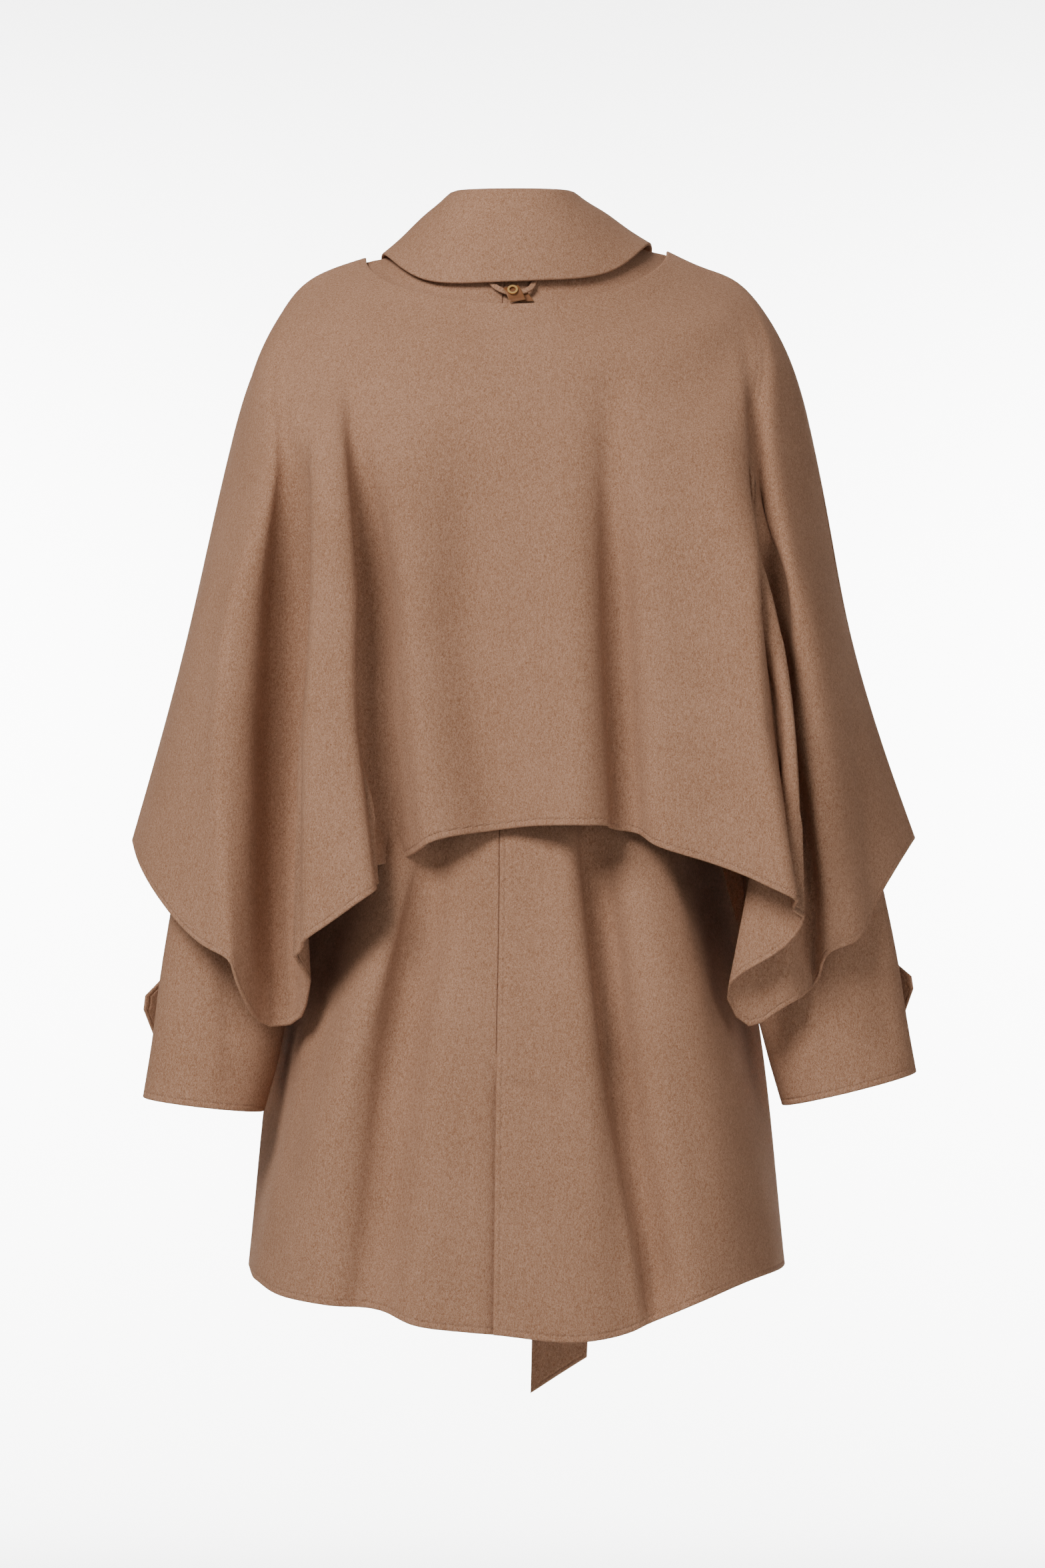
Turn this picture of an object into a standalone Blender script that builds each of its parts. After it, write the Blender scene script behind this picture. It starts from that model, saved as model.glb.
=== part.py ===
"""A belted wool cape coat, worn and filled out with no wearer inside it.

A double-faced wool coat with a shoulder cape that hangs free over it, a turn-down collar, wide
sleeves with pointed cuff tabs, a tie belt, and a hang loop with a leather tab at the nape.
The wearer faces +Y, so the back faces -Y, and the origin is the base of the neck, between the
shoulders. All tables are in millimetres. Left and right are as seen from behind: right is +X.

Each cloth piece is a wall. Its outer face is a smooth surface through rails, which run down the
cloth along its folds, and levels, which run round the body, and its inner face lies one cloth
thickness inside.
"""
import bpy
import numpy as np

for old in list(bpy.data.objects):
    bpy.data.objects.remove(old, do_unlink=True)

MM = 0.001
CLOTH = 2.8            # thickness of the double-faced wool
SEAM_GAP = 0.4         # between two pieces at a seam
VENT_DEPTH = 3.6       # how far the left back dips below the right one at the vent
LAP_DEPTH = 5.8        # and the left front below the right one
LAP_RUN = 8            # how far before the lap edge the dip starts
COLUMN_STEP = 42       # widest column of the mesh
BELT_GAP = 0.8         # between the belt and the coat
SHARP_ANGLE = 0.9      # radians: edges bent more than this are shaded sharp

WOOL_COLOUR = (0.33, 0.203, 0.139, 1.0)
LEATHER_COLOUR = (0.19, 0.072, 0.024, 1.0)
BRASS_COLOUR = (0.62, 0.42, 0.16, 1.0)

# Sections of the coat from the neck to the waist, each a tilted superellipse.
# name, run down the cloth, side x, side z, back y, back z, front y, front z, roundness, right raise
COAT_SECTIONS = [
    ("neck seam", 0, 80, 10, -64, 8, 62, -62, 2.0, 5),
    ("under the collar edge", 45, 111, -0.8, -84, -32, 92, -95, 2.0, 6),
    ("cape edge", 64, 126, -4, -92, -50, 103, -115, 2.0, 6),
    ("yoke", 92, 157, -17, -101, -76, 113, -136, 2.2, 1),
    ("shoulder tip", 116, 184, -36, -108, -98, 122, -154, 2.4, 0),
    ("bust", 266, 168, -245, -126, -248, 134, -248, 2.4, 0),
    ("waist", 443, 150, -425, -108, -425, 112, -425, 2.3, 0),
]
TIP_ROW = 4            # the row of the shoulder tip, where the armhole starts
SIDE_Y = -8            # the side seam at bust and waist
ARMHOLE_BACK = 60      # how far the armhole reaches back from the shoulder line
ARMHOLE_FRONT = 50     # and forward
ARMHOLE_CURVE = 0.7    # below one, the armhole's side draws in sooner
# Steps round the armhole: name, angle from the shoulder tip in degrees, run down the cloth
ARMHOLE_STEPS = [
    ("upper armhole", 45, 157),
    ("middle armhole", 90, 200),
    ("lower armhole", 135, 240),
]

# Levels of the skirt below the waist: run down the cloth and height
HIP_RUN, HIP_Z = 530, -510
LOW_RUN, LOW_Z = 675, -650
HEM_RUN = 925
ARMHOLE_END_RUN = 340  # one more row between bust and waist
SKIRT_RUNS = (600, 800)

# Folds of the coat's back, from the left side seam to the right one.
# name, place round the sections (-1 left side, 0 centre, 1 right side),
# hip x, hip y, low x, low y, hem x, hem y, hem z
COAT_BACK_RAILS = [
    ("left side seam", -1.0, -173, 8, -207, 32, -229, 25, -857),
    ("left side hollow", -0.80, -150, -52, -183, -45, -222, -40, -861),
    ("left outer floor", -0.62, -127, -92, -166, -98, -214, -74, -863),
    ("left outer crest", -0.52, -110, -108, -146, -130, -198, -106, -869),
    ("left outer slope", -0.45, -96, -114, -131, -145, -176, -130, -872),
    ("left middle", -0.37, -85, -114, -112, -142, -144, -146, -875),
    ("left inner floor", -0.28, -71, -112, -94, -135, -117, -149, -877),
    ("left inner crest", -0.20, -51, -122, -71, -153, -88, -166, -887),
    ("left flat", -0.13, -33, -124, -43, -156, -54, -170, -892),
    ("centre seam", -0.06, -14, -125, -16, -158, -19, -172, -895),
    ("right flat", 0.06, 14, -125, 14, -159, 16, -174, -899),
    ("right inner crest", 0.14, 35, -126, 41, -161, 49, -174, -901),
    ("right inner edge", 0.19, 46, -122, 59, -157, 71, -170, -899),
    ("right inner floor", 0.24, 58, -108, 69, -140, 94, -160, -894),
    ("right inner slope", 0.30, 72, -110, 82, -142, 114, -156, -885),
    ("right middle", 0.38, 93, -115, 106, -149, 141, -158, -874),
    ("right outer crest", 0.47, 116, -108, 139, -141, 172, -138, -863),
    ("right outer slope", 0.60, 135, -90, 166, -112, 198, -105, -856),
    ("right side hollow", 0.80, 152, -50, 185, -45, 220, -50, -854),
    ("right side seam", 1.0, 173, 8, 207, 32, 229, 25, -857),
]
CENTRE_SEAM = 9        # the rail of the centre back seam
VENT_TOP_RUN = 690     # the seam is open below this
VENT_WIDTH = 46        # how far the left panel reaches under the right one at the vent

# Folds of one coat front, from its side seam past the centre. Both fronts are mirror images.
COAT_FRONT_RAILS = [
    ("side seam", 1.0, 173, 8, 207, 32, 229, 25, -857),
    ("side", 0.80, 156, 58, 196, 86, 222, 84, -860),
    ("outer crest", 0.62, 134, 94, 170, 122, 202, 128, -864),
    ("outer floor", 0.50, 110, 104, 142, 124, 170, 136, -866),
    ("inner crest", 0.37, 84, 119, 108, 146, 130, 160, -868),
    ("front flat", 0.20, 46, 124, 60, 150, 72, 166, -869),
    ("centre front", 0.0, 0, 126, 0, 152, 0, 170, -869),
    ("lap edge", -0.20, -44, 124, -48, 150, -52, 167, -869),
]
CENTRE_FRONT = 6

# Which way the yoke faces: aside at its side, away from the body at its middle, and up at both
YOKE_ASIDE, YOKE_AWAY, YOKE_UP_SIDE, YOKE_UP_MIDDLE = 0.45, 0.95, 0.9, 0.4

# Upper levels of the cape lie on the coat's yoke: run down the coat, run down the cape,
# how far its inner face stands off the coat at left, right and front
CAPE_YOKE_LEVELS = [
    ("neck edge", 64, 0, 1.2, 0.8, 1.2),
    ("yoke", 92, 34, 3.6, 4.4, 4.0),
    ("shoulder tip", 116, 66, 4.0, 11.0, 5.0),
]
# Half way from the shoulder tip to the blades the cape swells over the sleeve head
SWELL_RUN = 112
SWELL_START = 0.7      # the place round the yoke where the swell starts
SWELL_SIDE = (6, 11)   # out from the side seam at left and right
SWELL_CORNER = 10      # and behind or before it
SWELL_OUT, SWELL_TURN, SWELL_UP = 0.8, 1.0, 0.5    # its way aside and away, turned at the corner, up
CAPE_BLADE_RUN, CAPE_ELBOW_RUN, CAPE_HEM_RUN = 160, 300, 550
BLADE_Z, BLADE_FRONT_DROP = -158, 62
ELBOW_Z = -299
CAPE_ROWS = (0, 17, 34, 50, 66, 88, 112, 136, 160, 205, 250, 300, 380, 465, 550)

# Folds of the cape's back, left side to right side.
# name, place round the yoke, blade x, blade y, elbow x, elbow y, hem x, hem y, hem z
CAPE_BACK_RAILS = [
    ("left side", -1.0, -240, 0, -274, 2, -327, 5, -495),
    ("left arm front of crest", -0.965, -236, -28, -269, -38, -313, -52, -522),
    ("left arm", -0.93, -228, -56, -258, -76, -283, -95, -560),
    ("left arm back", -0.895, -217, -82, -243, -106, -252, -122, -584),
    ("left crest", -0.86, -206, -97, -232, -120, -234, -130, -596),
    ("left crest slope", -0.835, -199, -100, -212, -117, -223, -118, -624),
    ("left tip", -0.81, -194, -99, -197, -104, -193, -104, -648),
    ("left turn", -0.785, -188, -102, -186, -111, -171, -110, -621),
    ("left panel edge", -0.755, -181, -109, -177, -129, -184, -138, -587),
    ("left panel", -0.71, -172, -115, -168, -138, -169, -152, -573),
    ("left panel middle", -0.655, -162, -119, -156, -141, -141, -160, -554),
    ("left panel crest", -0.58, -150, -123, -139, -142, -115, -160, -534),
    ("second turn", -0.53, -141, -122, -129, -136, -113, -146, -526),
    ("second floor", -0.50, -134, -121, -122, -128, -116, -132, -516),
    ("second slope", -0.455, -124, -124, -109, -130, -96, -134, -506),
    ("left flat", -0.365, -101, -129, -89, -137, -74, -144, -496),
    ("centre dip", -0.18, -50, -131, -42, -133, -27, -138, -486),
    ("centre", 0.04, 11, -134, 20, -141, 22, -146, -481),
    ("third crest", 0.19, 53, -133, 58, -142, 62, -152, -481),
    ("third floor", 0.25, 70, -128, 73, -130, 83, -134, -483),
    ("right flat inner", 0.33, 92, -130, 96, -138, 105, -142, -494),
    ("right flat", 0.46, 123, -128, 134, -143, 150, -150, -509),
    ("right flat outer", 0.60, 154, -122, 169, -144, 193, -155, -525),
    ("right crest", 0.74, 179, -110, 199, -142, 225, -158, -541),
    ("right crest edge", 0.79, 188, -101, 211, -135, 236, -148, -554),
    ("right return", 0.82, 191, -97, 212, -127, 228, -134, -574),
    ("right return middle", 0.84, 193, -94, 211, -121, 200, -124, -595),
    ("right turn", 0.86, 195, -93, 211, -116, 175, -112, -619),
    ("right tip", 0.875, 197, -92, 214, -113, 193, -98, -648),
    ("right arm back", 0.89, 200, -92, 219, -115, 218, -98, -634),
    ("right arm edge", 0.905, 206, -91, 227, -119, 241, -101, -621),
    ("right arm crest", 0.92, 213, -87, 237, -117, 252, -105, -595),
    ("right arm", 0.94, 224, -72, 251, -99, 279, -100, -579),
    ("right arm outer", 0.96, 237, -49, 263, -71, 298, -72, -554),
    ("right arm side", 0.98, 247, -25, 272, -37, 319, -40, -519),
    ("right side", 1.0, 252, 0, 279, 2, 339, 5, -493),
]
# Folds of one front of the cape, from its side seam, which is the back's, to its front edge
CAPE_FRONT_RAILS = [
    ("arm side", 0.965, 244, 34, 272, 46, 318, 52, -520),
    ("arm", 0.92, 231, 66, 256, 88, 288, 98, -572),
    ("arm crest", 0.86, 214, 92, 232, 116, 248, 126, -618),
    ("tip", 0.78, 190, 108, 202, 120, 204, 116, -642),
    ("panel edge", 0.68, 164, 124, 172, 142, 172, 152, -596),
    ("panel crest", 0.54, 136, 133, 138, 150, 134, 164, -548),
    ("panel floor", 0.42, 106, 136, 106, 142, 100, 148, -522),
    ("front flat", 0.24, 60, 142, 60, 154, 56, 164, -494),
    ("front edge", 0.05, 13, 146, 14, 160, 18, 172, -480),
]

# Sections of the sleeves below the armhole: name, run down the cloth,
# left outer x, left outer z, left inner x, left inner z, the same four for the right sleeve,
# axis y, half depth back, half depth front
SLEEVE_SECTIONS = [
    ("cap", 34, 203, -68, 173, -251, 206, -68, 173, -251, -7, 58, 49),
    ("biceps", 70, 225, -140, 177, -263, 229, -140, 177, -263, -9, 56, 48),
    ("upper arm", 120, 244, -235, 180, -300, 249, -235, 180, -300, -12, 53, 47),
    ("elbow", 235, 262, -350, 183, -385, 270, -350, 183, -385, -17, 50, 47),
    ("forearm", 370, 281, -490, 187, -505, 299, -490, 189, -505, -28, 46, 45),
    ("tab top", 480, 300, -613, 191, -622, 321, -598, 198, -620, -35, 44, 44),
    ("tab bottom", 528, 306, -661, 198, -669, 328, -644, 209, -668, -37, 44, 44),
    ("cuff", 580, 314, -710, 212, -722, 336, -689, 223, -717, -38, 44, 43),
]
SLEEVE_SIDES = 16
BUST_ROW = TIP_ROW + SLEEVE_SIDES // 2     # the coat's row at the foot of the armhole
SLEEVE_ROWS = [0, 16, 34, 52, 70, 95, 120, 175, 235, 300, 370, 425, 480, 504, 528, 580]
TAB_FIRST_SIDE, TAB_LAST_SIDE = 11, 14     # where the tab lies on the sleeve's front
TAB_ROWS = (12, 14)                        # the sleeve rows at its top and bottom edges
# The tab's free end past the sleeve: reach, how far it is raised, share of its full width
TAB_END = [("root", 10, 0, 1.02), ("shoulder", 18, 1, 1.06), ("point", 33, 5, 0.24)]

# Stations of the collar from the nape round to one front end:
# name, share of the way round, neck x y z, fold-over x y z, edge x y z
COLLAR_STATIONS = [
    ("nape", 0.0, 0, -64, 8, 0, -66, 50, 0, -91, -30),
    ("back", 0.25, 55, -46, 10, 42, -50, 51, 80, -66, -25),
    ("shoulder", 0.5, 80, -2, 10, 57, -6, 47, 115, 0, 1),
    ("front", 0.75, 58, 41, -24, 48, 36, 14, 97, 76, -52),
    ("front end", 1.0, 7, 62, -61, 9, 62, -28, 34, 112, -104),
]
COLLAR_COLUMNS = 10    # on each side of the nape
COLLAR_RAISE = 5       # the right shoulder of the collar lies higher
LEAF_RAISE = 1.8       # the leaf more than the stand, as a multiple
COLLAR_NARROW = 7      # and the fold nearer the neck
COLLAR_STEP = 24       # widest row of the collar's mesh
# Profile of the collar: name, share from neck to fold or from fold to edge, outward, upward, part
COLLAR_PROFILE = [
    ("neck", 0.0, 0, 0, "stand"),
    ("stand", 0.5, -3, 0, "stand"),
    ("fold inside", 1.0, -6, -6, "stand"),
    ("fold top", 0.0, 0, 0, "leaf"),
    ("fold outside", 0.06, 2, 0, "leaf"),
    ("leaf upper", 0.35, 2, 1, "leaf"),
    ("leaf lower", 0.7, 0.5, 0, "leaf"),
    ("edge", 1.0, 0, 0, "leaf"),
]

BELT_RUNS = (418, 443, 468)    # the belt's edges and middle, down the coat
KNOT_SIZE = (60, 26, 50)
KNOT_SEAT = 14                 # half the width of its flat back, which lies on the belt
KNOT_SINK = 1.2                # the belt slopes out below the knot's middle, and the knot follows
KNOT_SIDES, KNOT_ROWS = 16, 8
KNOT_ROUNDING = 0.55           # one is a ball, nought a box
END_STEP = 50                  # widest row of a belt end's mesh
# Belt ends: centre x, y, z, half width, and how far the right edge is cut higher than the left
LONG_END = [
    (10, 130, -450.4, 17, 0), (12, 137, -490, 22, 0), (17, 152, -600, 25, 0),
    (25, 169, -720, 25, 0), (33, 181, -830, 25, 0), (38, 185, -900, 25, 0),
    (37, 187, -970, 25, 32),
]
SHORT_END = [
    (-19, 130, -449.9, 9, 0), (-36, 137, -490, 20, 0), (-52, 148, -580, 25, 0),
    (-62, 161, -668, 25, -26),
]

# Path of the hang loop on the coat below the collar: x, height, stand-off from the coat
LOOP_PATH = [
    (-21, -27, 0.6), (-20.5, -31, 0.6), (-16, -36, 1.0), (-9, -40, 2.0), (0, -41, 2.4),
    (7, -39.5, 2.2), (12, -36, 1.2), (14.5, -31, 0.6), (15, -27, 0.6),
]
LOOP_WIDTH, LOOP_THICK = 4.8, 2.2
NAPE_RUNS = (30, 80)           # the stretch of the coat that the loop and its clasp lie on
# The two leather layers that clasp the loop, each a leaning four-sided flap:
# name, top left x z, width across x z, lean down x z, stand-off from the coat, how far it is
# bowed out at its middle, thickness
TAB_LAYERS = [
    ("loop_tab", -11.5, -38.2, 13.0, 2.6, 6.4, -12.6, 4.9, 1.6, 1.5),
    ("loop_tab_back", -3.5, -38.5, 11.5, 0.6, 6.5, -9.6, 0.6, 0.0, 1.3),
]
SNAP_SHARE = (0.47, 0.36)      # where the snap sits across and down the front layer
SNAP_OUTER, SNAP_INNER, SNAP_HEIGHT = 4.4, 2.7, 1.0
SNAP_SEAT = 0.6                # clear of the bowed leather
FLAP_ROWS, FLAP_FINE_ROWS = 6, 51
FLAP_BOW_LENGTH = 1.15         # the bow runs out past the flap's lower edge when above one


def material(name, colour, roughness, metallic=0.0):
    """A Principled material."""
    made = bpy.data.materials.new(name)
    made.use_nodes = True
    shader = made.node_tree.nodes["Principled BSDF"]
    shader.inputs["Base Color"].default_value = colour
    shader.inputs["Roughness"].default_value = roughness
    shader.inputs["Metallic"].default_value = metallic
    return made


def spline_weights(knots, places):
    """Matrix that turns values at the knots into a natural cubic spline's values at the places."""
    count = len(knots)
    gap = np.diff(knots)
    bend = np.eye(count)
    slope = np.zeros((count, count))
    for i in range(1, count - 1):
        bend[i, i - 1:i + 2] = gap[i - 1] / 6, (gap[i - 1] + gap[i]) / 3, gap[i] / 6
        slope[i, i - 1:i + 2] = 1 / gap[i - 1], -1 / gap[i - 1] - 1 / gap[i], 1 / gap[i]
    second = np.linalg.solve(bend, slope)
    cell = np.clip(np.searchsorted(knots, places, side="right") - 1, 0, count - 2)
    width = gap[cell]
    right = (places - knots[cell]) / width
    left = 1 - right
    rows = np.arange(len(places))
    weights = np.zeros((len(places), count))
    weights[rows, cell] += left
    weights[rows, cell + 1] += right
    weights += ((left**3 - left) * width**2 / 6)[:, None] * second[cell]
    weights += ((right**3 - right) * width**2 / 6)[:, None] * second[cell + 1]
    return weights


def steady_curve(knots, values, places):
    """Cubic through the values at the knots that never swings past them, read at the places."""
    knots = np.asarray(knots, float)
    gap = np.diff(knots).reshape((-1,) + (1,) * (values.ndim - 1))
    rise = np.diff(values, axis=0) / gap
    first, second = 2 * gap[1:] + gap[:-1], gap[1:] + 2 * gap[:-1]
    steady = rise[:-1] * rise[1:] > 0
    before, after = np.where(steady, rise[:-1], 1.0), np.where(steady, rise[1:], 1.0)
    slope = np.zeros_like(values)
    slope[1:-1] = np.where(steady, (first + second) / (first / before + second / after), 0.0)
    slope[0], slope[-1] = rise[0], rise[-1]
    cell = np.clip(np.searchsorted(knots, places, side="right") - 1, 0, len(knots) - 2)
    width = gap[cell]
    t = (np.asarray(places) - knots[cell]).reshape(width.shape) / width
    ends = (1 + 2 * t) * (1 - t)**2 * values[cell] + t * t * (3 - 2 * t) * values[cell + 1]
    bends = t * (1 - t)**2 * slope[cell] - t * t * (1 - t) * slope[cell + 1]
    return ends + bends * width


def run_of(points):
    """Running distance along the last-but-one axis of the points, averaged over the first."""
    steps = np.linalg.norm(np.diff(points, axis=1), axis=2).mean(axis=0)
    return np.concatenate([[0.0], np.cumsum(steps)])


def refined(knots, step):
    """The knots with even places added so that no interval is wider than the step."""
    places = [knots[0]]
    for start, end in zip(knots[:-1], knots[1:]):
        parts = int(np.ceil((end - start) / step))
        places.extend(start + (end - start) * (k + 1) / parts for k in range(parts))
    return np.array(places)


def unit(vectors):
    """The vectors at length one."""
    return vectors / np.linalg.norm(vectors, axis=-1, keepdims=True)


def normals_of(points, outward=1.0):
    """Unit normals of a grid of points, rows running down and columns to the right as seen."""
    down = np.gradient(points, axis=0)
    across = np.gradient(points, axis=1)
    return outward * unit(np.cross(down, across))


def ring(section, place, facing):
    """Points of one section at places round it, -1 left side to 0 the middle to 1 right side."""
    side_x, side_y, side_z, mid_y, mid_z, power, raise_right = section
    angle = place * np.pi / 2
    round_off = (np.abs(np.sin(angle))**power + np.abs(np.cos(angle))**power)**(-1 / power)
    across, reach = np.sin(angle) * round_off, np.cos(angle) * round_off
    height = side_z + (mid_z - side_z) * reach + raise_right * np.clip(facing * across, 0, 1)**2
    return np.stack([side_x * across, side_y + (mid_y - side_y) * reach, height], axis=-1)


def coat_sections(face):
    """Runs and sections of the coat from neck to waist for its back or its front."""
    back = face == "back"
    rows = {row[0]: row for row in COAT_SECTIONS}
    runs, sections = [], []
    for name, run, side_x, side_z, back_y, back_z, front_y, front_z, power, lift in COAT_SECTIONS:
        if name == "bust":
            for _, angle, step_run in ARMHOLE_STEPS:
                runs.append(step_run)
                sections.append(armhole_section(rows["shoulder tip"], rows["bust"], angle, back))
        side_y = SIDE_Y if name in ("bust", "waist") else 0
        mid = (back_y, back_z) if back else (front_y, front_z)
        runs.append(run)
        sections.append((side_x, side_y, side_z, mid[0], mid[1], power, lift))
    return runs, sections


def armhole_section(tip, bust, angle, back):
    """The section whose side end lies on the armhole at an angle from the shoulder tip."""
    turn = np.radians(angle)
    level = np.cos(turn / 2)**2
    share = (1 - level) * (1 - np.cos(turn)) / 2 + level * angle / 180
    depth = -ARMHOLE_BACK if back else ARMHOLE_FRONT
    side_y = SIDE_Y * share + depth * np.sin(turn)
    column = 4 if back else 6
    down = angle / 180
    mid_y = tip[column] + (bust[column] - tip[column]) * down
    mid_z = tip[column + 1] + (bust[column + 1] - tip[column + 1]) * down
    side_x = tip[2] + (bust[2] - tip[2]) * share**ARMHOLE_CURVE
    side_z = tip[3] + (bust[3] - tip[3]) * share
    return side_x, side_y, side_z, mid_y, mid_z, tip[8], 0


def coat_levels(face, side=1):
    """Runs of the coat's levels and their points on every rail, level by level."""
    rails = COAT_BACK_RAILS if face == "back" else COAT_FRONT_RAILS
    table = np.array([row[1:] for row in rails], float)
    place = table[:, 0]
    runs, sections = coat_sections(face)
    levels = [ring(section, place, side) for section in sections]
    flat = np.ones(len(table))
    levels.append(np.stack([table[:, 1], table[:, 2], HIP_Z * flat], axis=-1))
    levels.append(np.stack([table[:, 3], table[:, 4], LOW_Z * flat], axis=-1))
    levels.append(table[:, 5:8])
    return np.array(runs + [HIP_RUN, LOW_RUN, HEM_RUN], float), np.stack(levels)


def coat_surface(face, columns, rows, side=1):
    """Outer points of the coat at the columns, in mean distance round it, and the rows."""
    runs, levels = coat_levels(face, side)
    weights = spline_weights(run_of(levels), columns)
    return steady_curve(runs, np.einsum("cr,lrk->lck", weights, levels), rows)


def coat_rows():
    """Rows of the coat's mesh: the sections, even steps round the armhole, and the skirt."""
    angles = np.linspace(0, 180, SLEEVE_SIDES // 2 + 1)
    known = [0] + [step[1] for step in ARMHOLE_STEPS] + [180]
    runs = [COAT_SECTIONS[4][1]] + [step[2] for step in ARMHOLE_STEPS] + [COAT_SECTIONS[5][1]]
    armhole = np.interp(angles, known, runs)
    above = [row[1] for row in COAT_SECTIONS[:4]]
    below = [ARMHOLE_END_RUN, *BELT_RUNS, HIP_RUN, SKIRT_RUNS[0], LOW_RUN, VENT_TOP_RUN]
    return np.array([*above, *armhole, *below, SKIRT_RUNS[1], HEM_RUN], float)


def flatten_rims(normals, axis, column, rows=slice(None)):
    """Turn the normals of one column so that the wall's rim there lies across the axis."""
    normals[rows, column, axis] = 0
    normals[rows, column] = unit(normals[rows, column])


def pull_in(points, amount, left=False, right=False, top=False, bottom=False):
    """Draw the chosen edges of a grid of points in along its surface."""
    moved = points.copy()
    if left:
        moved[:, 0] += amount * unit(points[:, 1] - points[:, 0])
    if right:
        moved[:, -1] += amount * unit(points[:, -2] - points[:, -1])
    if top:
        moved[0] += amount * unit(points[1] - points[0])
    if bottom:
        moved[-1] += amount * unit(points[-2] - points[-1])
    return moved


def solid(name, vertices, faces, finish):
    """A mesh object from vertices in millimetres, its faces turned out."""
    points = np.asarray(vertices, float) * MM
    first = points.mean(axis=0)
    volume = 0.0
    for face in faces:
        a = points[face[0]] - first
        for k in range(1, len(face) - 1):
            volume += np.dot(a, np.cross(points[face[k]] - first, points[face[k + 1]] - first))
    if volume < 0:
        faces = [face[::-1] for face in faces]
    mesh = bpy.data.meshes.new(name)
    mesh.from_pydata(points.tolist(), [], faces)
    mesh.materials.append(finish)
    mesh.shade_smooth()
    mesh.set_sharp_from_angle(angle=SHARP_ANGLE)
    made = bpy.data.objects.new(name, mesh)
    bpy.context.collection.objects.link(made)
    return made


def wall(name, outer, inner, finish, keep=None, closed=False):
    """A closed wall between two grids of points, its rims on the edges of the kept cells."""
    rows, columns = outer.shape[:2]
    if keep is None:
        keep = np.ones((rows - 1, columns if closed else columns - 1), bool)
    index, vertices = {}, []

    def corner(layer, i, j):
        key = (layer, i, j % columns)
        if key not in index:
            index[key] = len(vertices)
            vertices.append((outer, inner)[layer][i, j % columns])
        return index[key]

    faces, edges = [], {}
    for i, j in zip(*np.nonzero(keep)):
        loop = [(i, j), (i + 1, j), (i + 1, j + 1), (i, j + 1)]
        for half in (loop[:3], [loop[0], *loop[2:]]):
            faces.append([corner(0, *at) for at in half])
            faces.append([corner(1, *at) for at in reversed(half)])
        for start, end in zip(loop, loop[1:] + loop[:1]):
            key = (corner(0, *start), corner(0, *end))
            if key[::-1] in edges:
                del edges[key[::-1]]
            else:
                edges[key] = (corner(1, *end), corner(1, *start))
    for (start, end), (back_end, back_start) in edges.items():
        faces.append([end, start, back_start, back_end])
    return solid(name, vertices, faces, finish)


def mitred(first, second):
    """Rim directions of two walls at their seam, drawn together where the walls face one way."""
    share = np.clip((first * second).sum(axis=-1, keepdims=True), 0, 1)
    return unit(first + share * second), unit(second + share * first)


def flatten_side(normals, column):
    """Rims of a panel's side edge at the shoulder seam and the side seam lie across y."""
    flatten_rims(normals, 1, column, slice(0, TIP_ROW + 1))
    flatten_rims(normals, 1, column, slice(BUST_ROW, None))


def coat_grids():
    """Points and normals of the coat's back, its fronts and its sleeves, before they are parted."""
    rows = coat_rows()
    back_knots = run_of(coat_levels("back")[1])
    coat = {"rows": rows, "seam": back_knots[CENTRE_SEAM]}
    coat["columns"] = refined(back_knots, COLUMN_STEP)
    coat["back"] = coat_surface("back", coat["columns"], rows)
    coat["back normals"] = normals_of(coat["back"])
    for column in (0, -1):
        flatten_side(coat["back normals"], column)
    for side in (1, -1):
        knots = run_of(coat_levels("front", side)[1])
        columns = refined(knots, COLUMN_STEP)
        if side == -1:
            lap_start = knots[CENTRE_FRONT - 1] - 2 * LAP_RUN
            columns = np.sort(np.append(columns, [lap_start, lap_start + LAP_RUN]))
            coat["lap start"] = lap_start
        points = coat_surface("front", columns, rows, side)
        normals = normals_of(points)
        flatten_side(normals, 0)
        coat["front", side] = columns, points, normals
        join_sleeve(coat, side)
    return coat


def join_sleeve(coat, side):
    """Start a sleeve at the armhole edges of the back and the front, with mitred rims."""
    column = -1 if side == 1 else 0
    mirror = np.array([side, 1, 1])
    armhole_rows = slice(TIP_ROW, BUST_ROW + 1)
    front, front_normals = coat["front", side][1:]
    back_normals = coat["back normals"]
    armhole = np.concatenate([coat["back"][armhole_rows, column] * mirror,
                              front[armhole_rows, 0][-2:0:-1]])
    body = np.concatenate([back_normals[armhole_rows, column] * mirror,
                           front_normals[armhole_rows, 0][-2:0:-1]])
    points = sleeve_points(side, armhole)
    normals = ring_normals(points)
    normals[0], body = mitred(normals[0], body)
    half = SLEEVE_SIDES // 2
    back_normals[armhole_rows, column] = body[:half + 1] * mirror
    front_normals[armhole_rows, 0] = body[-np.arange(half + 1) % SLEEVE_SIDES]
    for seam_row in (TIP_ROW, BUST_ROW):
        flatten_rims(back_normals, 1, column, slice(seam_row, seam_row + 1))
        flatten_rims(front_normals, 1, 0, slice(seam_row, seam_row + 1))
    coat["sleeve", side] = points, normals


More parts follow.
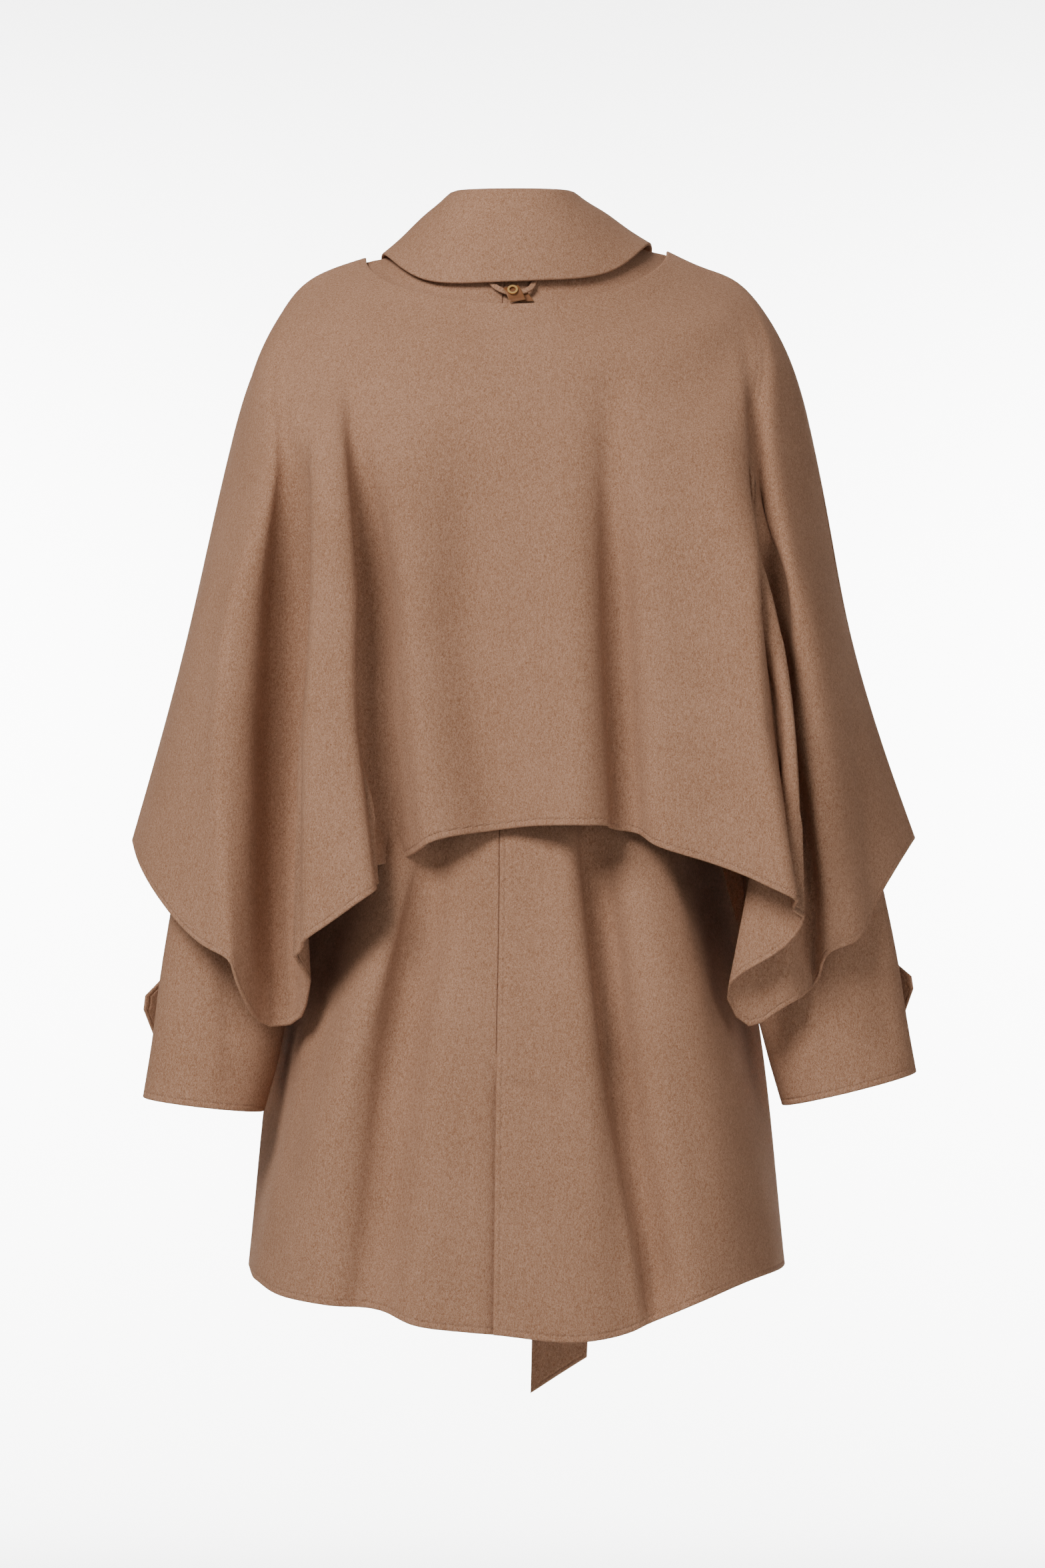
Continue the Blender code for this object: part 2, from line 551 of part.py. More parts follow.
def make_backs(coat, wool):
    """The two back panels, with the left one reaching under the right one at the vent."""
    rows, columns, points = coat["rows"], coat["columns"], coat["back"]
    normals = coat["back normals"].copy()
    split = int(np.argmin(np.abs(columns - coat["seam"])))
    flatten_rims(normals, 0, split)
    shown = pull_in(points[:, split:], SEAM_GAP / 2, left=True, right=True, top=True)
    wall("coat_back_right", shown, shown - CLOTH * normals[:, split:], wool)
    reach = columns[split] + np.array([0.0, VENT_WIDTH / 2, VENT_WIDTH])
    left_columns = np.concatenate([columns[:split], [columns[split] - LAP_RUN], reach])
    left = coat_surface("back", left_columns, rows)
    left_normals = normals_of(left)
    left_normals[:, :split] = normals[:, :split]
    seam_column, open_rows = split + 1, rows > VENT_TOP_RUN
    flatten_rims(left_normals, 0, seam_column, ~open_rows)
    dip = np.zeros(left.shape[:2])
    dip[open_rows, seam_column:] = VENT_DEPTH
    left[~open_rows, seam_column, 0] -= SEAM_GAP / 2
    left = pull_in(left, SEAM_GAP / 2, left=True, top=True) - dip[..., None] * left_normals
    keep = np.ones((len(rows) - 1, len(left_columns) - 1), bool)
    keep[~open_rows[:-1], seam_column:] = False
    wall("coat_back_left", left, left - CLOTH * left_normals, wool, keep)


def make_fronts(coat, wool):
    """The two fronts: the right one laps over the left one."""
    for side, name in ((1, "coat_front_right"), (-1, "coat_front_left")):
        columns, points, normals = coat["front", side]
        outer = pull_in(points, SEAM_GAP / 2, left=True, top=True)
        if side == -1:
            under = np.clip((columns - coat["lap start"]) / LAP_RUN, 0, 1)
            outer = outer - (LAP_DEPTH * under)[None, :, None] * normals
        mirror = np.array([side, 1, 1])
        wall(name, outer * mirror, (outer - CLOTH * normals) * mirror, wool)


def sleeve_points(side, armhole):
    """Rings of one sleeve from the armhole to the cuff, outer edge first, then back and inner."""
    turn = 2 * np.pi * np.arange(SLEEVE_SIDES) / SLEEVE_SIDES
    rings, runs = [armhole], [0.0]
    first = 6 if side == 1 else 2
    for row in SLEEVE_SECTIONS:
        outer = np.array([row[first], row[10], row[first + 1]], float)
        inner = np.array([row[first + 2], row[10], row[first + 3]], float)
        depth = np.where(np.sin(turn) > 0, row[11], row[12])
        middle, half = (outer + inner) / 2, (outer - inner) / 2
        points = middle + np.cos(turn)[:, None] * half
        points[:, 1] -= depth * np.sin(turn)
        rings.append(points)
        runs.append(row[1])
    return steady_curve(runs, np.stack(rings), np.array(SLEEVE_ROWS, float))


def ring_normals(points):
    """Outward unit normals of a tube whose columns close on themselves."""
    down = np.gradient(points, axis=0)
    across = np.roll(points, -1, axis=1) - np.roll(points, 1, axis=1)
    normals = unit(np.cross(across, down))
    away = points - points.mean(axis=1, keepdims=True)
    return normals * np.sign((normals * away).sum())


def make_sleeve(coat, side, wool):
    """One sleeve, and the pointed tab on its cuff."""
    name = "right" if side == 1 else "left"
    mirror = np.array([side, 1, 1])
    points, normals = coat["sleeve", side]
    outer = points.copy()
    outer[0] += SEAM_GAP * unit(points[1] - points[0])
    wall("sleeve_" + name, outer * mirror, (outer - CLOTH * normals) * mirror, wool, closed=True)
    make_sleeve_tab("sleeve_tab_" + name, points, normals, mirror, wool)


def make_sleeve_tab(name, points, normals, mirror, wool):
    """A strap on the sleeve's front, from its points moved out, whose pointed end stands free."""
    sides = np.arange(TAB_FIRST_SIDE, TAB_LAST_SIDE + 1)
    rows = np.arange(TAB_ROWS[0], TAB_ROWS[1] + 1)
    under = points[np.ix_(rows, sides)]
    lift = normals[np.ix_(rows, sides)]
    on_sleeve = under + SEAM_GAP * lift
    heading = unit(on_sleeve[:, -1] - on_sleeve[:, -2])
    middle = (on_sleeve[0, -1] + on_sleeve[-1, -1]) / 2
    upward = unit(on_sleeve[0, -1] - on_sleeve[-1, -1])
    free = []
    for _, reach, raised, share in TAB_END:
        end = middle + (on_sleeve[:, -1] - middle) * share
        free.append(end + reach * heading + raised * upward)
    inner = np.concatenate([on_sleeve, np.stack(free, axis=1)], axis=1)
    out = np.concatenate([lift] + [lift[:, -1:]] * len(TAB_END), axis=1)
    wall(name, (inner + CLOTH * out) * mirror, inner * mirror, wool)


def yoke_direction(place, front):
    """The way out of the coat's yoke at places round it."""
    angle = place * np.pi / 2
    away = YOKE_AWAY if front else -YOKE_AWAY
    rise = YOKE_UP_SIDE * np.abs(np.sin(angle)) + YOKE_UP_MIDDLE * np.cos(angle)
    return unit(np.stack([YOKE_ASIDE * np.sin(angle), away * np.cos(angle), rise], axis=-1))


def swell(place, side, front):
    """How far the cape swells over the sleeve head at places round it."""
    arm = np.clip((np.abs(place) - SWELL_START) / (1 - SWELL_START), 0, 1)
    at_side = np.where(place * side > 0, SWELL_SIDE[1], SWELL_SIDE[0])
    corner = arm * (1 - arm)
    size = at_side * arm + 4 * SWELL_CORNER * corner
    angle = place * np.pi / 2
    facing = 1 if front else -1
    away = facing * (SWELL_OUT * np.cos(angle) + SWELL_TURN * corner)
    out = np.stack([SWELL_OUT * np.sin(angle), away, SWELL_UP * arm], axis=-1)
    return size[:, None] * unit(out)


def cape_levels(face, side=1):
    """Points of the cape's rails, level by level, for its back or one front."""
    if face == "back":
        table = np.array([row[1:] for row in CAPE_BACK_RAILS], float)
    else:
        seam = np.array(CAPE_BACK_RAILS[-1 if side == 1 else 0][1:], float)
        seam[[0, 1, 3, 5]] *= side
        rest = np.array([row[1:] for row in CAPE_FRONT_RAILS], float)
        table = np.concatenate([seam[None], rest])
    place = table[:, 0]
    coat_runs, coat_rings = coat_sections(face)
    levels = []
    for _, coat_run, _, left, right, front in CAPE_YOKE_LEVELS:
        base = ring(coat_rings[coat_runs.index(coat_run)], place, side)
        at_side = (left + (right - left) * (place + 1) / 2) if face == "back" else None
        if face == "front":
            corner = right if side == 1 else left
            at_side = front + (corner - front) * np.abs(place)**3
        levels.append(base + (CLOTH + at_side)[:, None] * yoke_direction(place, face == "front"))
    drop = BLADE_FRONT_DROP * np.cos(place * np.pi / 2) if face == "front" else 0 * place
    blades = np.stack([table[:, 1], table[:, 2], BLADE_Z - drop], axis=-1)
    levels.append((levels[-1] + blades) / 2 + swell(place, side, face == "front"))
    levels.append(blades)
    levels.append(np.stack([table[:, 3], table[:, 4], ELBOW_Z - drop / 3], axis=-1))
    levels.append(table[:, 5:8])
    return np.stack(levels)


def cape_surface(levels, columns, rows):
    """Outer points of the cape at columns round it and rows down it."""
    runs = [row[2] for row in CAPE_YOKE_LEVELS]
    runs += [SWELL_RUN, CAPE_BLADE_RUN, CAPE_ELBOW_RUN, CAPE_HEM_RUN]
    across = spline_weights(run_of(levels[2:]), columns)
    down = spline_weights(np.array(runs, float), np.array(rows, float))
    return np.einsum("al,lrk,cr->ack", down, levels, across)


def make_cape(wool):
    """The cape's back and its two fronts, joined along the shoulder and arm."""
    levels = cape_levels("back")
    points = cape_surface(levels, refined(run_of(levels[2:]), COLUMN_STEP), CAPE_ROWS)
    normals = normals_of(points)
    for column in (0, -1):
        flatten_rims(normals, 1, column)
    outer = pull_in(points, SEAM_GAP / 2, left=True, right=True)
    wall("cape_back", outer, outer - CLOTH * normals, wool)
    for side, name in ((1, "cape_front_right"), (-1, "cape_front_left")):
        levels = cape_levels("front", side)
        points = cape_surface(levels, refined(run_of(levels[2:]), COLUMN_STEP), CAPE_ROWS)
        normals = normals_of(points)
        flatten_rims(normals, 1, 0)
        outer = pull_in(points, SEAM_GAP / 2, left=True)
        mirror = np.array([side, 1, 1])
        wall(name, outer * mirror, (outer - CLOTH * normals) * mirror, wool)


def collar_surface(columns):
    """Shown face of the collar, from the inside of the neck over the fold to the leaf's edge."""
    table = np.array([row[1:] for row in COLLAR_STATIONS], float)
    mirrored = table[:0:-1] * np.array([-1, -1, 1, 1, -1, 1, 1, -1, 1, 1])
    table = np.concatenate([mirrored, table])
    read = spline_weights(table[:, 0], columns) @ table[:, 1:]
    neck, fold, edge = read[:, 0:3], read[:, 3:6], read[:, 6:9]
    lift = COLLAR_RAISE * np.sin(np.clip(columns, 0, 1) * np.pi)
    neck[:, 2] += lift
    edge[:, 2] += LEAF_RAISE * lift
    fold[:, 0] -= COLLAR_NARROW * lift / COLLAR_RAISE
    outward = unit((edge - fold) * np.array([1, 1, 0]))
    neck = neck - CLOTH * outward + np.array([0, 0, SEAM_GAP])
    rows = []
    for _, share, out, up, part in COLLAR_PROFILE:
        start, end = (neck, fold) if part == "stand" else (fold, edge)
        offset = out * outward + np.array([0, 0, up])
        rows.append(start + (end - start) * share + offset)
    return np.stack(rows)


def make_collar(wool):
    """The turn-down collar, stand and leaf in one."""
    columns = np.linspace(-1, 1, 2 * COLLAR_COLUMNS + 1)
    lines = collar_surface(columns)
    knots = run_of(np.swapaxes(lines, 0, 1))
    places = refined(knots, COLLAR_STEP)
    points = np.einsum("pr,rck->pck", spline_weights(knots, places), lines)
    normals = normals_of(points)
    wall("collar", points, points - CLOTH * normals, wool)


def make_belt(coat, wool):
    """The belt round the waist, from the coat's points moved out. Returns where the knot sits."""
    rows = [int(np.argmin(np.abs(coat["rows"] - run))) for run in BELT_RUNS]
    flip = np.array([-1, 1, 1])
    columns, left, left_normals = coat["front", -1]
    clear = int(np.searchsorted(columns, coat["lap start"]))
    right, right_normals = coat["front", 1][1:]
    points = np.concatenate([coat["back"][rows], right[rows][:, 1:],
                             (left[rows][:, 1:clear] * flip)[:, ::-1]], axis=1)
    lift = np.concatenate([coat["back normals"][rows], right_normals[rows][:, 1:],
                           (left_normals[rows][:, 1:clear] * flip)[:, ::-1]], axis=1)
    inner = points + BELT_GAP * lift
    outer = inner + CLOTH * lift
    wall("belt", outer, inner, wool, closed=True)
    behind_knot = outer[np.abs(outer[..., 0]) < KNOT_SEAT]
    return np.array([0.0, behind_knot[:, 1].max(), outer[1, :, 2].mean()])


def make_knot(front, wool):
    """The belt's plain knot: a rounded block just in front of the belt."""
    half = np.array(KNOT_SIZE) / 2
    centre = np.array([0.0, front[1] + SEAM_GAP - KNOT_SINK + half[1], front[2]])
    turn = np.linspace(0, 2 * np.pi, KNOT_SIDES, endpoint=False)
    rise = np.linspace(-np.pi / 2, np.pi / 2, KNOT_ROWS + 1)[1:-1]

    def soft(value):
        return np.sign(value) * np.abs(value)**KNOT_ROUNDING

    vertices = [centre - [0, 0, half[2]]]
    for angle in rise:
        for around in turn:
            shape = [soft(np.cos(angle)) * soft(np.cos(around)),
                     soft(np.cos(angle)) * soft(np.sin(around)), soft(np.sin(angle))]
            vertices.append(centre + half * np.array(shape))
    vertices.append(centre + [0, 0, half[2]])
    last, n = len(vertices) - 1, KNOT_SIDES
    faces = [[0, 1 + (k + 1) % n, 1 + k] for k in range(n)]
    for row in range(len(rise) - 1):
        low = 1 + row * n
        faces += [[low + k, low + (k + 1) % n, low + n + (k + 1) % n, low + n + k]
                  for k in range(n)]
    top = 1 + (len(rise) - 1) * n
    faces += [[top + k, top + (k + 1) % n, last] for k in range(n)]
    solid("belt_knot", vertices, faces, wool)


def make_belt_end(name, table, wool):
    """A flat end of the belt hanging from the knot, cut at a slant."""
    rows = np.array(table, float)
    knots = np.concatenate([[0.0], np.cumsum(np.linalg.norm(np.diff(rows[:, :3], axis=0), axis=1))])
    read = spline_weights(knots, refined(knots, END_STEP)) @ rows
    across = np.array([-1.0, -0.5, 0.0, 0.5, 1.0])
    points = np.stack([read[:, 0, None] + read[:, 3, None] * across,
                       np.repeat(read[:, 1, None], len(across), axis=1),
                       read[:, 2, None] + read[:, 4, None] / 2 * across], axis=-1)
    normals = normals_of(points[:, ::-1])[:, ::-1]
    wall(name, points, points - CLOTH * normals, wool)


def coat_back_point(x, z):
    """Where the coat's back surface lies behind a given place near the nape."""
    rows = np.linspace(*NAPE_RUNS, 26)
    levels = coat_levels("back")[1]
    grid = coat_surface("back", np.linspace(0, run_of(levels)[-1], 160), rows)
    near = np.argmin((grid[..., 0] - x)**2 + (grid[..., 2] - z)**2)
    at = np.unravel_index(near, grid.shape[:2])
    return grid[at], normals_of(grid)[at]


def make_loop(wool):
    """The hang loop: a narrow strip of cloth that comes out from under the collar."""
    path, lift = [], []
    for x, z, off in LOOP_PATH:
        point, normal = coat_back_point(x, z)
        path.append(np.array([x, point[1], z]) + off * normal)
        lift.append(normal)
    path, lift = np.array(path), np.array(lift)
    along = unit(np.gradient(path, axis=0))
    wide = np.cross(along, lift)
    inner = np.stack([path - LOOP_WIDTH / 2 * wide, path + LOOP_WIDTH / 2 * wide], axis=1)
    outer = inner + LOOP_THICK * lift[:, None]
    wall("hang_loop", outer, inner, wool)


def flap_grid(layer, steps=FLAP_ROWS):
    """Points and the common outward direction of one leather layer, bowed out at its middle."""
    left, top, wide_x, wide_z, lean_x, lean_z, off, bow = layer[1:9]
    across, down = np.meshgrid(np.linspace(0, 1, 4), np.linspace(0, 1, steps))
    x = left + wide_x * across + lean_x * down
    z = top + wide_z * across + lean_z * down
    point, normal = coat_back_point(x.mean(), z.mean())
    slope = -normal[2] / normal[1]
    height = off + bow * np.sin(np.pi * np.clip(down * FLAP_BOW_LENGTH, 0, 1))
    y = point[1] + slope * (z - point[2])
    grid = np.stack([x, y, z], axis=-1) + height[..., None] * normal
    return grid, normal


def make_loop_tab(leather, brass):
    """The leather clasp over the hang loop: two flaps and a ring-shaped snap."""
    for layer in TAB_LAYERS:
        grid, normal = flap_grid(layer)
        wall(layer[0], grid + layer[-1] * normal, grid, leather)
    grid, normal = flap_grid(TAB_LAYERS[0], FLAP_FINE_ROWS)
    row = int(SNAP_SHARE[1] * FLAP_FINE_ROWS)
    place = grid[row, 0] + SNAP_SHARE[0] * (grid[row, -1] - grid[row, 0])
    side = unit(grid[row, -1] - grid[row, 0])
    rise = unit(grid[row - 1, 0] - grid[row + 1, 0])
    facing = unit(np.cross(rise, side))
    facing = facing * np.sign(facing @ normal)
    up = np.cross(facing, side)
    up = up * np.sign(up[2])
    centre = place + (TAB_LAYERS[0][-1] + SNAP_SEAT) * facing
    turn = np.linspace(0, 2 * np.pi, 20, endpoint=False)[:, None]
    circle = np.cos(turn) * side + np.sin(turn) * up
    low = np.stack([centre + SNAP_INNER * circle, centre + SNAP_OUTER * circle])
    wall("loop_snap", low + SNAP_HEIGHT * facing, low, brass, closed=True)


def build():
    """Make every piece of the cape coat."""
    wool = material("wool", WOOL_COLOUR, 0.9)
    leather = material("leather", LEATHER_COLOUR, 0.55)
    brass = material("brass", BRASS_COLOUR, 0.3, 1.0)
    coat = coat_grids()
    make_backs(coat, wool)
    make_fronts(coat, wool)
    for side in (1, -1):
        make_sleeve(coat, side, wool)
    make_collar(wool)
    make_cape(wool)
    front = make_belt(coat, wool)
    make_knot(front, wool)
    make_belt_end("belt_end_long", LONG_END, wool)
    make_belt_end("belt_end_short", SHORT_END, wool)
    make_loop(wool)
    make_loop_tab(leather, brass)


build()
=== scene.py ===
"""A belted wool cape coat as worn, seen from behind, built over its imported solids.

The tables are in millimetres, in the same frame as the solids: the wearer faces +Y, so the back
faces -Y, +Z is up, and the origin is the base of the neck. Left and right are as seen from behind.
"""

import bmesh
import bpy
import numpy as np
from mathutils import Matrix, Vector


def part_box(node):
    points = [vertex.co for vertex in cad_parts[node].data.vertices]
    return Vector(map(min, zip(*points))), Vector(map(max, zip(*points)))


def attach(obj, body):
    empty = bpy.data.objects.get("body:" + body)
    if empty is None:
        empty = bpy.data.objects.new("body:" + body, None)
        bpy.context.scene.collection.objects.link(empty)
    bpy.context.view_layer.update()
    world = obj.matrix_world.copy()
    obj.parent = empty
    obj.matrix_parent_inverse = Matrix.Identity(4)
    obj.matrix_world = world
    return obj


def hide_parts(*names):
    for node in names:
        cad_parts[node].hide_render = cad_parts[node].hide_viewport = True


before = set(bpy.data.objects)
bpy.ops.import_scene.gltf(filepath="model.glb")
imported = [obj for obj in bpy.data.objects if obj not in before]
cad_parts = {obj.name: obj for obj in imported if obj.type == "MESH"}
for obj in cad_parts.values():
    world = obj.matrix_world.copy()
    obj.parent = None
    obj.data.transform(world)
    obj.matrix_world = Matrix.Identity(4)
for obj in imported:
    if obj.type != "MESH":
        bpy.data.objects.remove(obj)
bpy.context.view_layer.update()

# The coat: four panels of double-faced wool, two behind and two in front, sewn at the shoulders,
# the sides and the centre back. The cloth is one 2.8 mm wall whose outer face is a surface through
# rails, which run down its folds, and levels, which run round the body.
MM = 0.001
CLOTH = 2.8            # thickness of the double-faced wool
SEAM_SHOWN = -0.05     # how far a piece stays back from a seam: its rim presses on the other's
SEAM_GAP = 0.4         # from the sleeve to the armhole, and from a tab to the sleeve
VENT_DEPTH = 3.6       # how far the left back dips below the right one at the vent
LAP_DEPTH = 5.8        # and the left front below the right one
LAP_RUN = 8            # how far before the lap edge the dip starts
WEAVE_STEP = 4.0       # widest cell of the cloth's mesh
FAR = 1e3              # further than any edge's rounding or seam's hold reaches
RIM_STEPS = (0, 0.3, 0.8, 1.4, 2.6)    # rows of the mesh where a cut edge rounds over
FADE_IN, FADE_OUT = 0.3, 0.15          # parts of a crease's line over which it comes and goes
WOOL_DARK = (0.235, 0.117, 0.064, 1.0)
WOOL_LIGHT = (0.445, 0.255, 0.165, 1.0)
# Sections of the coat from the neck to the waist, each a tilted superellipse.
# name, run down the cloth, side x, side z, back y, back z, front y, front z, roundness, right raise
COAT_SECTIONS = [
    ("neck seam", 0, 80, 10, -64, 8, 62, -62, 2.0, 5),
    ("under the collar edge", 45, 111, -0.8, -84, -32, 92, -95, 2.0, 6),
    ("cape edge", 64, 126, -4, -92, -50, 103, -115, 2.0, 6),
    ("yoke", 92, 157, -17, -101, -76, 113, -136, 2.2, 1),
    ("shoulder tip", 116, 184, -36, -108, -98, 122, -154, 2.4, 0),
    ("bust", 266, 168, -245, -126, -248, 134, -248, 2.4, 0),
    ("waist", 443, 150, -425, -108, -425, 112, -425, 2.3, 0),
]
TIP_RUN, BUST_RUN = COAT_SECTIONS[4][1], COAT_SECTIONS[5][1]   # the armhole lies between them
SIDE_Y = -8            # the side seam at bust and waist
ARMHOLE_BACK = 60      # how far the armhole reaches back from the shoulder line
ARMHOLE_FRONT = 50     # and forward
ARMHOLE_CURVE = 0.7    # below one, the armhole's side draws in sooner
# Steps round the armhole: name, angle from the shoulder tip in degrees, run down the cloth
ARMHOLE_STEPS = [
    ("upper armhole", 45, 157),
    ("middle armhole", 90, 200),
    ("lower armhole", 135, 240),
]

# Levels of the skirt below the waist: run down the cloth and height
HIP_RUN, HIP_Z = 530, -510
LOW_RUN, LOW_Z = 675, -650
HEM_RUN = 925

# Folds of the coat's back, from the left side seam to the right one.
# name, place round the sections (-1 left side, 0 centre, 1 right side),
# hip x, hip y, low x, low y, hem x, hem y, hem z
COAT_BACK_RAILS = [
    ("left side seam", -1.0, -173, 8, -207, 32, -229, 25, -857),
    ("left side hollow", -0.80, -150, -52, -183, -45, -222, -40, -861),
    ("left outer floor", -0.62, -127, -92, -166, -98, -214, -74, -863),
    ("left outer crest", -0.52, -110, -108, -146, -130, -198, -106, -869),
    ("left outer slope", -0.45, -96, -114, -131, -145, -176, -130, -872),
    ("left middle", -0.37, -85, -114, -112, -142, -144, -146, -875),
    ("left inner floor", -0.28, -71, -112, -94, -135, -117, -149, -877),
    ("left inner crest", -0.20, -51, -122, -71, -153, -88, -166, -887),
    ("left flat", -0.13, -33, -124, -43, -156, -54, -170, -892),
    ("centre seam", -0.06, -14, -125, -16, -158, -19, -172, -895),
    ("right flat", 0.06, 14, -125, 14, -159, 16, -174, -899),
    ("right inner crest", 0.14, 35, -126, 41, -161, 49, -174, -901),
    ("right inner edge", 0.19, 46, -122, 59, -157, 71, -170, -899),
    ("right inner floor", 0.24, 58, -108, 69, -140, 94, -160, -894),
    ("right inner slope", 0.30, 72, -110, 82, -142, 114, -156, -885),
    ("right middle", 0.38, 93, -115, 106, -149, 141, -158, -874),
    ("right outer crest", 0.47, 116, -108, 139, -141, 172, -138, -863),
    ("right outer slope", 0.60, 135, -90, 166, -112, 198, -105, -856),
    ("right side hollow", 0.80, 152, -50, 185, -45, 220, -50, -854),
    ("right side seam", 1.0, 173, 8, 207, 32, 229, 25, -857),
]
CENTRE_SEAM = 9        # the rail of the centre back seam
VENT_TOP_RUN = 690     # the seam is open below this
VENT_WIDTH = 46        # how far the left panel reaches under the right one at the vent
VENT_DIP_RUN = 30      # how far below the vent's top its dip is full

# Folds of one coat front, from its side seam past the centre. Both fronts are mirror images.
COAT_FRONT_RAILS = [
    ("side seam", 1.0, 173, 8, 207, 32, 229, 25, -857),
    ("side", 0.80, 156, 58, 196, 86, 222, 84, -860),
    ("outer crest", 0.62, 134, 94, 170, 122, 202, 128, -864),
    ("outer floor", 0.50, 110, 104, 142, 124, 170, 136, -866),
    ("inner crest", 0.37, 84, 119, 108, 146, 130, 160, -868),
    ("front flat", 0.20, 46, 124, 60, 150, 72, 166, -869),
    ("centre front", 0.0, 0, 126, 0, 152, 0, 170, -869),
    ("lap edge", -0.20, -44, 124, -48, 150, -52, 167, -869),
]
CENTRE_FRONT = 6       # the rail of the centre front


def spline_weights(knots, places):
    """Matrix that turns values at the knots into a natural cubic spline's values at the places."""
    count = len(knots)
    gap = np.diff(knots)
    bend = np.eye(count)
    slope = np.zeros((count, count))
    for i in range(1, count - 1):
        bend[i, i - 1:i + 2] = gap[i - 1] / 6, (gap[i - 1] + gap[i]) / 3, gap[i] / 6
        slope[i, i - 1:i + 2] = 1 / gap[i - 1], -1 / gap[i - 1] - 1 / gap[i], 1 / gap[i]
    second = np.linalg.solve(bend, slope)
    cell = np.clip(np.searchsorted(knots, places, side="right") - 1, 0, count - 2)
    width = gap[cell]
    right = (places - knots[cell]) / width
    left = 1 - right
    rows = np.arange(len(places))
    weights = np.zeros((len(places), count))
    weights[rows, cell] += left
    weights[rows, cell + 1] += right
    weights += ((left**3 - left) * width**2 / 6)[:, None] * second[cell]
    weights += ((right**3 - right) * width**2 / 6)[:, None] * second[cell + 1]
    return weights


def steady_curve(knots, values, places):
    """Cubic through the values at the knots that never swings past them, read at the places."""
    knots = np.asarray(knots, float)
    gap = np.diff(knots).reshape((-1,) + (1,) * (values.ndim - 1))
    rise = np.diff(values, axis=0) / gap
    first, second = 2 * gap[1:] + gap[:-1], gap[1:] + 2 * gap[:-1]
    steady = rise[:-1] * rise[1:] > 0
    before, after = np.where(steady, rise[:-1], 1.0), np.where(steady, rise[1:], 1.0)
    slope = np.zeros_like(values)
    slope[1:-1] = np.where(steady, (first + second) / (first / before + second / after), 0.0)
    slope[0], slope[-1] = rise[0], rise[-1]
    cell = np.clip(np.searchsorted(knots, places, side="right") - 1, 0, len(knots) - 2)
    width = gap[cell]
    t = (np.asarray(places) - knots[cell]).reshape(width.shape) / width
    ends = (1 + 2 * t) * (1 - t)**2 * values[cell] + t * t * (3 - 2 * t) * values[cell + 1]
    bends = t * (1 - t)**2 * slope[cell] - t * t * (1 - t) * slope[cell + 1]
    return ends + bends * width


def run_of(points):
    """Running distance along the last-but-one axis of the points, averaged over the first."""
    steps = np.linalg.norm(np.diff(points, axis=1), axis=2).mean(axis=0)
    return np.concatenate([[0.0], np.cumsum(steps)])


def unit(vectors):
    """The vectors at length one."""
    return vectors / np.linalg.norm(vectors, axis=-1, keepdims=True)


def normals_of(points):
    """Unit normals of a grid of points, rows running down and columns to the right as seen."""
    down = np.gradient(points, axis=0)
    across = np.gradient(points, axis=1)
    return unit(np.cross(down, across))


def pull_in(points, amount, left=False, right=False, top=False):
    """Draw the chosen edges of a grid of points in along its surface."""
    moved = points.copy()
    if left:
        moved[:, 0] += amount * unit(points[:, 1] - points[:, 0])
    if right:
        moved[:, -1] += amount * unit(points[:, -2] - points[:, -1])
    if top:
        moved[0] += amount * unit(points[1] - points[0])
    return moved


def ring(section, place, facing):
    """Points of one section at places round it, -1 left side to 0 the middle to 1 right side."""
    side_x, side_y, side_z, mid_y, mid_z, power, raise_right = section
    angle = place * np.pi / 2
    round_off = (np.abs(np.sin(angle))**power + np.abs(np.cos(angle))**power)**(-1 / power)
    across, reach = np.sin(angle) * round_off, np.cos(angle) * round_off
    height = side_z + (mid_z - side_z) * reach + raise_right * np.clip(facing * across, 0, 1)**2
    return np.stack([side_x * across, side_y + (mid_y - side_y) * reach, height], axis=-1)


def coat_sections(face):
    """Runs and sections of the coat from neck to waist for its back or its front."""
    back = face == "back"
    rows = {row[0]: row for row in COAT_SECTIONS}
    runs, sections = [], []
    for name, run, side_x, side_z, back_y, back_z, front_y, front_z, power, lift in COAT_SECTIONS:
        if name == "bust":
            for _, angle, step_run in ARMHOLE_STEPS:
                runs.append(step_run)
                sections.append(armhole_section(rows["shoulder tip"], rows["bust"], angle, back))
        side_y = SIDE_Y if name in ("bust", "waist") else 0
        mid = (back_y, back_z) if back else (front_y, front_z)
        runs.append(run)
        sections.append((side_x, side_y, side_z, mid[0], mid[1], power, lift))
    return runs, sections


def armhole_section(tip, bust, angle, back):
    """The section whose side end lies on the armhole at an angle from the shoulder tip."""
    turn = np.radians(angle)
    level = np.cos(turn / 2)**2
    share = (1 - level) * (1 - np.cos(turn)) / 2 + level * angle / 180
    depth = -ARMHOLE_BACK if back else ARMHOLE_FRONT
    side_y = SIDE_Y * share + depth * np.sin(turn)
    column = 4 if back else 6
    down = angle / 180
    mid_y = tip[column] + (bust[column] - tip[column]) * down
    mid_z = tip[column + 1] + (bust[column + 1] - tip[column + 1]) * down
    side_x = tip[2] + (bust[2] - tip[2]) * share**ARMHOLE_CURVE
    side_z = tip[3] + (bust[3] - tip[3]) * share
    return side_x, side_y, side_z, mid_y, mid_z, tip[8], 0


